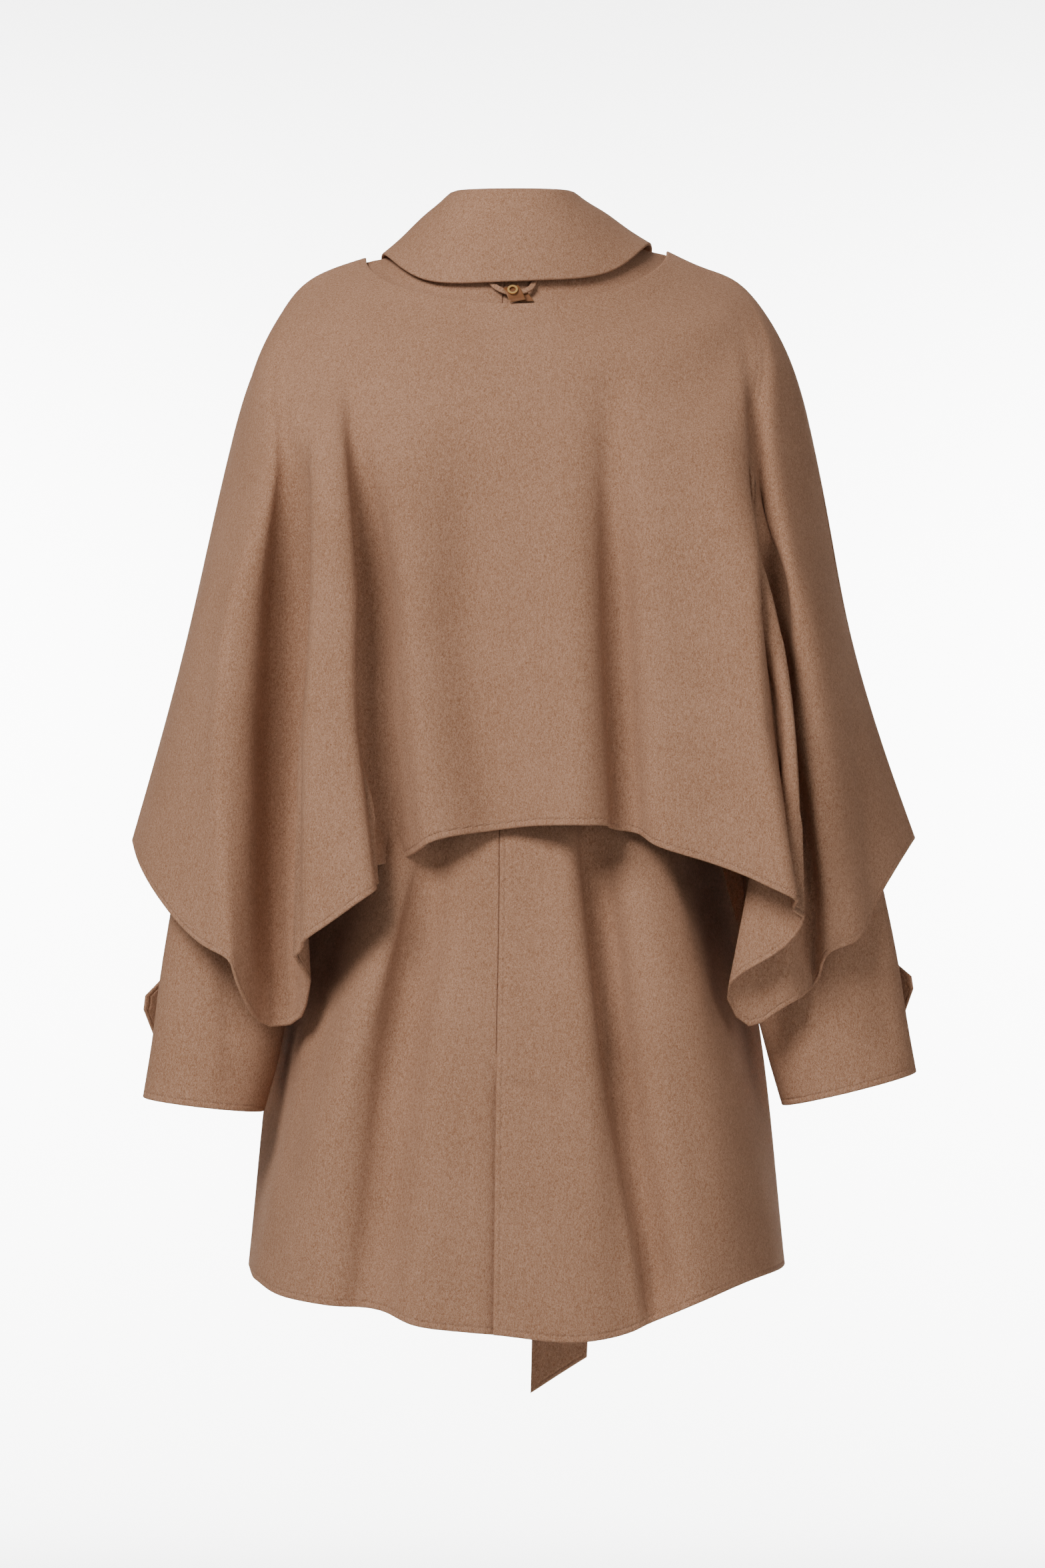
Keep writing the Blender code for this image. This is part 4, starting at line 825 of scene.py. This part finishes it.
# The shoulder cape: it lies on the shoulders over the coat, under the collar's leaf, and hangs
# free to the elbows in deep folds. Its back and its two fronts are joined along the arms.
# Which way the yoke faces: aside at its side, away from the body at its middle, and up at both
YOKE_ASIDE, YOKE_AWAY, YOKE_UP_SIDE, YOKE_UP_MIDDLE = 0.45, 0.95, 0.9, 0.4

# Upper levels of the cape lie on the coat's yoke: run down the coat, run down the cape,
# how far its inner face stands off the coat at left, right and front
CAPE_YOKE_LEVELS = [
    ("neck edge", 64, 0, 1.2, 0.8, 1.2),
    ("yoke", 92, 34, 3.6, 4.4, 4.0),
    ("shoulder tip", 116, 66, 4.0, 11.0, 5.0),
]
# Half way from the shoulder tip to the blades the cape swells over the sleeve head
SWELL_RUN = 112
SWELL_START = 0.7      # the place round the yoke where the swell starts
SWELL_SIDE = (6, 11)   # out from the side seam at left and right
SWELL_CORNER = 10      # and behind or before it
SWELL_OUT, SWELL_TURN, SWELL_UP = 0.8, 1.0, 0.5    # its way aside and away, turned at the corner, up
CAPE_BLADE_RUN, CAPE_ELBOW_RUN, CAPE_HEM_RUN = 160, 300, 550
BLADE_Z, BLADE_FRONT_DROP = -158, 62
ELBOW_Z = -299

# Folds of the cape's back, left side to right side.
# name, place round the yoke, blade x, blade y, elbow x, elbow y, hem x, hem y, hem z
CAPE_BACK_RAILS = [
    ("left side", -1.0, -240, 0, -274, 2, -327, 5, -495),
    ("left arm front of crest", -0.965, -236, -28, -269, -38, -313, -52, -522),
    ("left arm", -0.93, -228, -56, -258, -76, -283, -95, -560),
    ("left arm back", -0.895, -217, -82, -243, -106, -252, -122, -584),
    ("left crest", -0.86, -206, -97, -232, -120, -234, -130, -596),
    ("left crest slope", -0.835, -199, -100, -212, -117, -223, -118, -624),
    ("left tip", -0.81, -194, -99, -197, -104, -193, -104, -648),
    ("left turn", -0.785, -188, -102, -186, -111, -171, -110, -621),
    ("left panel edge", -0.755, -181, -109, -177, -129, -184, -138, -587),
    ("left panel", -0.71, -172, -115, -168, -138, -169, -152, -573),
    ("left panel middle", -0.655, -162, -119, -156, -141, -141, -160, -554),
    ("left panel crest", -0.58, -150, -123, -139, -142, -115, -160, -534),
    ("second turn", -0.53, -141, -122, -129, -136, -113, -146, -526),
    ("second floor", -0.50, -134, -121, -122, -128, -116, -132, -516),
    ("second slope", -0.455, -124, -124, -109, -130, -96, -134, -506),
    ("left flat", -0.365, -101, -129, -89, -137, -74, -144, -496),
    ("centre dip", -0.18, -50, -131, -42, -133, -27, -138, -486),
    ("centre", 0.04, 11, -134, 20, -141, 22, -146, -481),
    ("third crest", 0.19, 53, -133, 58, -142, 62, -152, -481),
    ("third floor", 0.25, 70, -128, 73, -130, 83, -134, -483),
    ("right flat inner", 0.33, 92, -130, 96, -138, 105, -142, -494),
    ("right flat", 0.46, 123, -128, 134, -143, 150, -150, -509),
    ("right flat outer", 0.60, 154, -122, 169, -144, 193, -155, -525),
    ("right crest", 0.74, 179, -110, 199, -142, 225, -158, -541),
    ("right crest edge", 0.79, 188, -101, 211, -135, 236, -148, -554),
    ("right return", 0.82, 191, -97, 212, -127, 228, -134, -574),
    ("right return middle", 0.84, 193, -94, 211, -121, 200, -124, -595),
    ("right turn", 0.86, 195, -93, 211, -116, 175, -112, -619),
    ("right tip", 0.875, 197, -92, 214, -113, 193, -98, -648),
    ("right arm back", 0.89, 200, -92, 219, -115, 218, -98, -634),
    ("right arm edge", 0.905, 206, -91, 227, -119, 241, -101, -621),
    ("right arm crest", 0.92, 213, -87, 237, -117, 252, -105, -595),
    ("right arm", 0.94, 224, -72, 251, -99, 279, -100, -579),
    ("right arm outer", 0.96, 237, -49, 263, -71, 298, -72, -554),
    ("right arm side", 0.98, 247, -25, 272, -37, 319, -40, -519),
    ("right side", 1.0, 252, 0, 279, 2, 339, 5, -493),
]
# Folds of one front of the cape, from its side seam, which is the back's, to its front edge
CAPE_FRONT_RAILS = [
    ("arm side", 0.965, 244, 34, 272, 46, 318, 52, -520),
    ("arm", 0.92, 231, 66, 256, 88, 288, 98, -572),
    ("arm crest", 0.86, 214, 92, 232, 116, 248, 126, -618),
    ("tip", 0.78, 190, 108, 202, 120, 204, 116, -642),
    ("panel edge", 0.68, 164, 124, 172, 142, 172, 152, -596),
    ("panel crest", 0.54, 136, 133, 138, 150, 134, 164, -548),
    ("panel floor", 0.42, 106, 136, 106, 142, 100, 148, -522),
    ("front flat", 0.24, 60, 142, 60, 154, 56, 164, -494),
    ("front edge", 0.05, 13, 146, 14, 160, 18, 172, -480),
]


def yoke_direction(place, front):
    """The way out of the coat's yoke at places round it."""
    angle = place * np.pi / 2
    away = YOKE_AWAY if front else -YOKE_AWAY
    rise = YOKE_UP_SIDE * np.abs(np.sin(angle)) + YOKE_UP_MIDDLE * np.cos(angle)
    return unit(np.stack([YOKE_ASIDE * np.sin(angle), away * np.cos(angle), rise], axis=-1))


def swell(place, side, front):
    """How far the cape swells over the sleeve head at places round it."""
    arm = np.clip((np.abs(place) - SWELL_START) / (1 - SWELL_START), 0, 1)
    at_side = np.where(place * side > 0, SWELL_SIDE[1], SWELL_SIDE[0])
    corner = arm * (1 - arm)
    size = at_side * arm + 4 * SWELL_CORNER * corner
    angle = place * np.pi / 2
    facing = 1 if front else -1
    away = facing * (SWELL_OUT * np.cos(angle) + SWELL_TURN * corner)
    out = np.stack([SWELL_OUT * np.sin(angle), away, SWELL_UP * arm], axis=-1)
    return size[:, None] * unit(out)


def cape_levels(face, side=1):
    """Points of the cape's rails, level by level, for its back or one front."""
    if face == "back":
        table = np.array([row[1:] for row in CAPE_BACK_RAILS], float)
    else:
        seam = np.array(CAPE_BACK_RAILS[-1 if side == 1 else 0][1:], float)
        seam[[0, 1, 3, 5]] *= side
        rest = np.array([row[1:] for row in CAPE_FRONT_RAILS], float)
        table = np.concatenate([seam[None], rest])
    place = table[:, 0]
    coat_runs, coat_rings = coat_sections(face)
    levels = []
    for _, coat_run, _, left, right, front in CAPE_YOKE_LEVELS:
        base = ring(coat_rings[coat_runs.index(coat_run)], place, side)
        at_side = (left + (right - left) * (place + 1) / 2) if face == "back" else None
        if face == "front":
            corner = right if side == 1 else left
            at_side = front + (corner - front) * np.abs(place)**3
        levels.append(base + (CLOTH + at_side)[:, None] * yoke_direction(place, face == "front"))
    drop = BLADE_FRONT_DROP * np.cos(place * np.pi / 2) if face == "front" else 0 * place
    blades = np.stack([table[:, 1], table[:, 2], BLADE_Z - drop], axis=-1)
    levels.append((levels[-1] + blades) / 2 + swell(place, side, face == "front"))
    levels.append(blades)
    levels.append(np.stack([table[:, 3], table[:, 4], ELBOW_Z - drop / 3], axis=-1))
    levels.append(table[:, 5:8])
    return np.stack(levels)


def cape_surface(levels, columns, rows):
    """Outer points of the cape at columns round it and rows down it."""
    runs = [row[2] for row in CAPE_YOKE_LEVELS]
    runs += [SWELL_RUN, CAPE_BLADE_RUN, CAPE_ELBOW_RUN, CAPE_HEM_RUN]
    across = spline_weights(run_of(levels[2:]), columns)
    down = spline_weights(np.array(runs, float), np.array(rows, float))
    return np.einsum("al,lrk,cr->ack", down, levels, across)


# name, face, height, width to the left, width to the right, line x z
CAPE_CREASES = [
    ("left fold's crest", 1, 6.0, 6, 42,
     [(-166, -100), (-166, -181), (-168, -241), (-172, -323), (-176, -405), (-180, -488),
      (-182, -570), (-184, -720)]),
    ("left fold's valley", 1, -9.0, 20, 8,
     [(-174, -110), (-177, -181), (-179, -241), (-183, -323), (-189, -405), (-190, -488),
      (-191, -570), (-193, -720)]),
    ("left fold, low", 1, -20.0, 17, 14,
     [(-175, -130), (-179, -230), (-184, -323), (-190, -405), (-191, -488), (-192, -570),
      (-194, -720)]),
    ("second fold's crest", 1, 7.0, 40, 6,
     [(-150, -80), (-149, -111), (-142, -187), (-137, -242), (-134, -296), (-134, -351),
      (-132, -405), (-125, -460), (-117, -531), (-114, -660)]),
    ("second fold's valley", 1, -8.0, 7, 24,
     [(-140, -90), (-138, -131), (-131, -187), (-127, -242), (-123, -296), (-123, -351),
      (-121, -405), (-114, -460), (-106, -531), (-104, -660)]),
    ("second fold, low", 1, -18.0, 8, 20,
     [(-137, -120), (-130, -187), (-126, -242), (-122, -296), (-122, -351), (-120, -405),
      (-113, -460), (-104, -531), (-102, -660)]),
    ("middle dip", 1, -8.0, 24, 26,
     [(-42, -130), (-40, -187), (-38, -318), (-29, -400), (-16, -485), (-8, -600)]),
    ("middle fold's crest", 1, 4.5, 34, 9,
     [(67, -80), (67, -116), (68, -209), (69, -264), (71, -345), (74, -406), (78, -485),
      (82, -620)]),
    ("middle fold's valley", 1, -6.0, 9, 22,
     [(75, -80), (75, -116), (76, -209), (77, -264), (79, -345), (82, -406), (86, -485),
      (90, -620)]),
    ("middle fold, low", 1, -9.0, 7, 16,
     [(76, -180), (77, -264), (79, -345), (82, -406), (86, -485), (90, -620)]),
    ("right fold's crest", 1, 7.0, 30, 9,
     [(178, -30), (181, -61), (185, -116), (190, -170), (194, -209), (197, -263), (198, -312),
      (199, -351), (203, -400), (214, -460), (228, -539), (232, -680)]),
    ("right fold's valley", 1, -11.0, 8, 9,
     [(190, -40), (193, -61), (196, -116), (201, -170), (205, -209), (209, -263), (211, -312),
      (213, -351), (216, -400), (227, -460), (240, -539), (244, -680)]),
    ("right fold, low", 1, -16.0, 9, 9,
     [(196, -110), (201, -170), (206, -209), (210, -263), (213, -312), (215, -351), (217, -400),
      (228, -460), (241, -539), (245, -680)]),
    ("right rim's dip", 1, -4.0, 16, 20,
     [(250, -90), (255, -150), (270, -294), (280, -427), (286, -580)]),
]
cape_rows = edged(0, CAPE_HEM_RUN)
for face, side, piece_name in (("back", 1, "cape_back"), ("front", 1, "cape_front_right"),
                               ("front", -1, "cape_front_left")):
    levels = cape_levels(face, side)
    points = cape_surface(levels, edged(0, run_of(levels[2:])[-1]), cape_rows)
    mirror = np.array([side, 1, 1])
    lift = normals_of(points)
    points = creased(points * mirror, lift * mirror, CAPE_CREASES) * mirror
    lift = normals_of(points)
    across = spans(points)[0]
    lift = settled(lift, across, across_side(lift[:, :1]))
    if face == "back":
        lift = settled(lift, across[:, -1:] - across, across_side(lift[:, -1:]))
    outer = pull_in(points, SEAM_SHOWN, left=True, right=face == "back")
    cape = cloth("shown_" + piece_name, outer * mirror, lift * mirror,
                 ("bottom",) if face == "back" else ("bottom", "right"))

# The tie belt: a flat band of the same cloth round the waist under the cape, with a plain knot in
# front and two hanging ends.
BELT_GAP = 0.8         # between the belt and the coat
BELT_RUNS = (418, 443, 468)    # the belt's edges and middle, down the coat
KNOT_SIZE = (60, 26, 50)
KNOT_TURNS, KNOT_RISES = 120, 60
KNOT_WRAPS = ((-14, 0.35), (15, -0.25))    # where the wrap's grooves cross its middle, their lean
KNOT_GROOVE, KNOT_GROOVE_WIDTH = 0.09, 2.6
KNOT_WELD = 0.00002            # points of the ball's two poles closer than this are joined
KNOT_ROUNDING = 0.55           # one is a ball, nought a box
END_WAVE, END_WAVE_Z, END_WAVE_START = 1.2, 55, -460   # an end's soft wave: depth, length, top
END_WAVE_ACROSS, END_WAVE_RISE = 2.6, 80   # its slant, and how far down it takes to grow
# Belt ends: centre x, y, z, half width, and how far the right edge is cut higher than the left
LONG_END = [
    (10, 130, -450.4, 17, 0), (12, 137, -490, 22, 0), (17, 152, -600, 25, 0),
    (25, 169, -720, 25, 0), (33, 181, -830, 25, 0), (38, 185, -900, 25, 0),
    (37, 187, -970, 25, 32),
]
SHORT_END = [
    (-19, 130, -449.9, 9, 0), (-36, 137, -490, 20, 0), (-52, 148, -580, 25, 0),
    (-62, 161, -668, 25, -26),
]
belt_rows = edged(BELT_RUNS[0], BELT_RUNS[-1], 4.0)
belt_back = coat_surface("back", np.arange(0, back_knots[-1], WEAVE_STEP), belt_rows)
belt_parts, belt_lifts = [belt_back], [normals_of(belt_back)]
for side in (1, -1):
    knots = run_of(coat_levels("front", side)[1])
    last = knots[-1] if side == 1 else knots[CENTRE_FRONT - 1] - 2 * LAP_RUN
    points = coat_surface("front", np.arange(WEAVE_STEP, last, WEAVE_STEP), belt_rows, side)
    lift = normals_of(points)
    if side == -1:
        points, lift = (a[:, ::-1] * np.array([-1, 1, 1]) for a in (points, lift))
    belt_parts.append(points)
    belt_lifts.append(lift)
belt_points, belt_lift = np.concatenate(belt_parts, axis=1), np.concatenate(belt_lifts, axis=1)
belt_outer = belt_points + (BELT_GAP + CLOTH) * belt_lift
belt = cloth("shown_belt", belt_outer, belt_lift, ("top", "bottom"), closed=True)


def knot_surface(turn, rise):
    """The knot: a rounded block whose cloth is wrapped once over itself.

    Each axis is half the block's size times the signed power of the ball's own cosine or sine.
    The wrap is two slanting grooves, bell curves of the distance to a line on its front.
    """
    def soft(value):
        return np.sign(value) * np.abs(value)**KNOT_ROUNDING

    half = np.array(KNOT_SIZE) / 2
    shape = np.stack([soft(np.cos(rise)) * soft(np.cos(turn)),
                      soft(np.cos(rise)) * soft(np.sin(turn)), soft(np.sin(rise))], axis=-1)
    points = shape * half
    grooves = [np.exp(-((points[..., 0] + lean * points[..., 2] - at) / KNOT_GROOVE_WIDTH)**2)
               for at, lean in KNOT_WRAPS]
    return points * (1 - KNOT_GROOVE * sum(grooves))[..., None]


knot_lo, knot_hi = (np.array(corner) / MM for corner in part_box("belt_knot"))
knot_turn, knot_rise = np.meshgrid(np.linspace(0, 2 * np.pi, KNOT_TURNS, endpoint=False),
                                   np.linspace(np.pi / 2, -np.pi / 2, KNOT_RISES))
knot_points = knot_surface(knot_turn, knot_rise) + (knot_lo + knot_hi) / 2
knot_index = np.arange(knot_turn.size).reshape(knot_turn.shape)
knot_beside = np.roll(knot_index, -1, axis=1)
knot_faces = np.stack([knot_index[:-1], knot_index[1:], knot_beside[1:], knot_beside[:-1]],
                      axis=-1).reshape(-1, 4)
knot = add_mesh("shown_belt_knot", knot_points * MM, knot_faces)
weld = bmesh.new()
weld.from_mesh(knot.data)
bmesh.ops.remove_doubles(weld, verts=weld.verts, dist=KNOT_WELD)
bmesh.ops.recalc_face_normals(weld, faces=weld.faces)
weld.to_mesh(knot.data)
weld.free()
knot.data.materials.append(wool)
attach(knot, "root")
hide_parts("belt_knot")

# The belt's ends: the long one shows below the coat's hem, cut at a slant.
for name, table in (("belt_end_long", LONG_END), ("belt_end_short", SHORT_END)):
    rows = np.array(table, float)
    fall = np.linalg.norm(np.diff(rows[:, :3], axis=0), axis=1)
    knots = np.concatenate([[0.0], np.cumsum(fall)])
    read = spline_weights(knots, edged(0, knots[-1])) @ rows
    share = edged(-25, 25, 3.0) / 25
    points = np.stack([read[:, 0, None] + read[:, 3, None] * share,
                       np.repeat(read[:, 1, None], len(share), axis=1),
                       read[:, 2, None] + read[:, 4, None] / 2 * share], axis=-1)
    end_lift = -normals_of(points)
    height = read[:, 2, None]
    wave = END_WAVE * np.sin(share * END_WAVE_ACROSS + height / END_WAVE_Z)
    points[..., 1] += wave * np.clip((END_WAVE_START - height) / END_WAVE_RISE, 0, 1)
    belt_end = cloth("shown_" + name, points, end_lift, ("left", "right", "bottom"))

# The hang loop at the nape: a narrow strip of the same cloth that comes out from under the
# collar, lies on the coat's back and goes in again.
# Path of the hang loop on the coat below the collar: x, height, stand-off from the coat
LOOP_PATH = [
    (-21, -27, 0.6), (-20.5, -31, 0.6), (-16, -36, 1.0), (-9, -40, 2.0), (0, -41, 2.4),
    (7, -39.5, 2.2), (12, -36, 1.2), (14.5, -31, 0.6), (15, -27, 0.6),
]
LOOP_WIDTH, LOOP_THICK = 4.8, 2.2
NAPE_RUNS = (30, 80)           # the stretch of the coat that the loop and its clasp lie on
# The two leather layers that clasp the loop, each a leaning four-sided flap:
# name, top left x z, width across x z, lean down x z, stand-off from the coat, how far it is
# bowed out at its middle, thickness
TAB_LAYERS = [
    ("loop_tab", -11.5, -38.2, 13.0, 2.6, 6.4, -12.6, 4.9, 1.6, 1.5),
    ("loop_tab_back", -3.5, -38.5, 11.5, 0.6, 6.5, -9.6, 0.6, 0.0, 1.3),
]
FLAP_ROWS, FLAP_COLUMNS = 30, 28
FLAP_BOW_LENGTH = 1.15         # the bow runs out past the flap's lower edge when above one


def coat_back_point(x, z):
    """Where the coat's back surface lies behind a given place near the nape."""
    rows = np.linspace(*NAPE_RUNS, 26)
    levels = coat_levels("back")[1]
    grid = coat_surface("back", np.linspace(0, run_of(levels)[-1], 160), rows)
    near = np.argmin((grid[..., 0] - x)**2 + (grid[..., 2] - z)**2)
    at = np.unravel_index(near, grid.shape[:2])
    return grid[at], normals_of(grid)[at]


loop_path, loop_lift = [], []
for x, z, off in LOOP_PATH:
    point, normal = coat_back_point(x, z)
    loop_path.append(np.array([x, point[1], z]) + off * normal)
    loop_lift.append(normal)
loop_knots = run_of(np.array(loop_path)[None])
loop_read = spline_weights(loop_knots, np.linspace(0, loop_knots[-1], 70))
loop_path, loop_lift = loop_read @ np.array(loop_path), unit(loop_read @ np.array(loop_lift))
loop_along = unit(np.gradient(loop_path, axis=0))
loop_wide = np.cross(loop_along, loop_lift)
loop_share = np.array([-1, -0.88, -0.65, -0.3, 0, 0.3, 0.65, 0.88, 1]) * LOOP_WIDTH / 2
loop_points = (loop_path + LOOP_THICK * loop_lift)[:, None] + loop_share[:, None] * loop_wide[:, None]
cloth("shown_hang_loop", loop_points, np.repeat(loop_lift[:, None], len(loop_share), axis=1),
      (), depth=LOOP_THICK)

# The leather clasp over the loop: two flaps of brown leather with pale cut edges.
LEATHER_DARK = (0.090, 0.030, 0.009, 1.0)
LEATHER_LIGHT = (0.230, 0.085, 0.024, 1.0)
LEATHER_EDGE = (0.27, 0.14, 0.065, 1.0)


def flap_grid(layer):
    """Points and the common outward direction of one leather layer, bowed out at its middle."""
    left, top, wide_x, wide_z, lean_x, lean_z, off, bow = layer[1:9]
    across, down = np.meshgrid(np.linspace(0, 1, 4), np.linspace(0, 1, FLAP_ROWS))
    x = left + wide_x * across + lean_x * down
    z = top + wide_z * across + lean_z * down
    point, normal = coat_back_point(x.mean(), z.mean())
    slope = -normal[2] / normal[1]
    height = off + bow * np.sin(np.pi * np.clip(down * FLAP_BOW_LENGTH, 0, 1))
    y = point[1] + slope * (z - point[2])
    grid = np.stack([x, y, z], axis=-1) + height[..., None] * normal
    return grid, normal


def add_leather():
    """Smooth brown leather: a pebble of cell edges, darker in the creases, with pale cut edges."""
    made, tree, shader = add_material("saddle_leather",
                                      {"Roughness": 0.5, "Specular IOR Level": 0.3})
    where = tree.nodes.new("ShaderNodeTexCoord").outputs["Object"]
    grain = add_node(tree, "ShaderNodeTexVoronoi", {"Scale": 1500.0, "Vector": where},
                     feature="DISTANCE_TO_EDGE")
    cloud = add_node(tree, "ShaderNodeTexNoise", {"Scale": 160.0, "Detail": 4.0, "Vector": where})
    colour = add_node(tree, "ShaderNodeMix", {"A": LEATHER_DARK, "B": LEATHER_LIGHT,
                                              "Factor": cloud.outputs["Fac"]}, data_type="RGBA")
    edge = add_node(tree, "ShaderNodeAttribute", {}, attribute_name="hem_mm")
    cut = add_node(tree, "ShaderNodeMapRange", {"From Min": 0.15, "From Max": 0.6, "To Min": 1.0,
                                                "To Max": 0.0, "Value": edge.outputs["Fac"]})
    edged_colour = add_node(tree, "ShaderNodeMix", {
        "B": LEATHER_EDGE, "Factor": cut.outputs["Result"], "A": colour.outputs["Result"]},
        data_type="RGBA")
    tree.links.new(edged_colour.outputs["Result"], shader.inputs["Base Color"])
    add_bump(tree, shader, grain.outputs["Distance"], 0.35, 0.0002)
    return made


leather = add_leather()
for layer in TAB_LAYERS:
    flap_points, flap_normal = flap_grid(layer)
    across_share = np.clip(np.linspace(-0.02, 1.02, FLAP_COLUMNS), 0, 1)
    columns = spline_weights(np.linspace(0, 1, 4), across_share)
    flap_points = np.einsum("cr,arx->acx", columns, flap_points)
    flap_lift = np.broadcast_to(flap_normal, flap_points.shape)
    flap = cloth("shown_" + layer[0], flap_points + layer[-1] * flap_lift, flap_lift,
                 ("left", "right", "top", "bottom"), depth=layer[-1])
    flap.data.materials.clear()
    flap.data.materials.append(leather)

# The brass ring of the clasp's snap, from its solid: an outer lip, a dished face and an eye.
brass, brass_tree, brass_shader = add_material(
    "polished_brass", {"Metallic": 1.0, "Base Color": (0.92, 0.56, 0.20, 1.0)})
brass_wear = add_node(brass_tree, "ShaderNodeTexNoise", {"Scale": 900.0})
brass_gloss = add_node(brass_tree, "ShaderNodeMapRange",
                       {"To Min": 0.26, "To Max": 0.42, "Value": brass_wear.outputs["Fac"]})
brass_tree.links.new(brass_gloss.outputs["Result"], brass_shader.inputs["Roughness"])
for slot_index in range(len(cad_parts["loop_snap"].data.materials)):
    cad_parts["loop_snap"].data.materials[slot_index] = brass

# The studio: a pale floor that sweeps up into a wall well behind the coat, a soft key lamp with a
# little fill, one lamp for the coat's front, and two on the wall.
FLOOR_Z = -2.2
SWEEP_Y = 7.6
SWEEP_RADIUS = 1.2


def sweep_surface(across, along):
    """A floor that turns up into a backdrop: a flat run, a quarter circle, then a wall."""
    turn = np.clip((along - SWEEP_Y) / (SWEEP_RADIUS * np.pi / 2), 0, 1) * np.pi / 2
    past = np.clip(along - SWEEP_Y - SWEEP_RADIUS * np.pi / 2, 0, None)
    y = np.minimum(along, SWEEP_Y) + SWEEP_RADIUS * np.sin(turn)
    z = FLOOR_Z + SWEEP_RADIUS * (1 - np.cos(turn)) + past
    return np.stack([across, y, z], axis=-1)


sweep_u, sweep_v = np.meshgrid(np.linspace(-10, 10, 15), np.linspace(-10, 16, 105))
sweep_points = sweep_surface(sweep_u, sweep_v)
sweep_index = np.arange(sweep_u.size).reshape(sweep_u.shape)
sweep_faces = np.stack([sweep_index[:-1, :-1], sweep_index[:-1, 1:], sweep_index[1:, 1:],
                        sweep_index[1:, :-1]], axis=-1).reshape(-1, 4)
sweep = add_mesh("studio_sweep", sweep_points, sweep_faces)
paper = add_material("pale_paper", {"Base Color": (0.93, 0.93, 0.925, 1.0), "Roughness": 0.9})[0]
sweep.data.materials.append(paper)


def add_lamp(name, place, aim, size, power, spread=180):
    """A square soft lamp at a place, turned to face its aim, whose light spreads by an angle."""
    data = bpy.data.lights.new(name, "AREA")
    data.size = size
    data.energy = power
    data.spread = np.radians(spread)
    lamp = bpy.data.objects.new(name, data)
    lamp.location = place
    lamp.rotation_euler = (Vector(aim) - Vector(place)).to_track_quat("-Z", "Y").to_euler()
    bpy.context.collection.objects.link(lamp)


add_lamp("key_lamp", (-1.7, -2.7, 2.0), (0, 0, -0.45), 1.6, 184)
add_lamp("fill_lamp", (2.6, -3.2, 0.3), (0, 0, -0.45), 2.4, 34)
add_lamp("front_lamp", (0.8, 3.6, 2.8), (0, 0, -0.45), 2.0, 90)
add_lamp("left_backdrop_lamp", (-3.2, 6.2, 0.2), (-0.7, 8.8, -0.5), 2.0, 520, 110)
add_lamp("right_backdrop_lamp", (3.2, 6.2, 0.2), (0.7, 8.8, -0.5), 2.0, 520, 110)
world = bpy.data.worlds.new("studio_surround")
world.use_nodes = True
world.node_tree.nodes["Background"].inputs["Color"].default_value = (1.0, 1.0, 1.0, 1.0)
world.node_tree.nodes["Background"].inputs["Strength"].default_value = 0.17
bpy.context.scene.world = world

# The camera stands level behind the coat, far enough back to see it nearly flat.
CAMERA_PLACE = (0.005, -4.2, -0.447)
CAMERA_LENS = 113.8
camera_data = bpy.data.cameras.new("camera")
camera_data.sensor_fit = "VERTICAL"
camera_data.sensor_height = 36.0
camera_data.lens = CAMERA_LENS
camera = bpy.data.objects.new("camera", camera_data)
camera.location = CAMERA_PLACE
camera.rotation_euler = (np.pi / 2, 0, 0)
bpy.context.collection.objects.link(camera)
bpy.context.scene.camera = camera
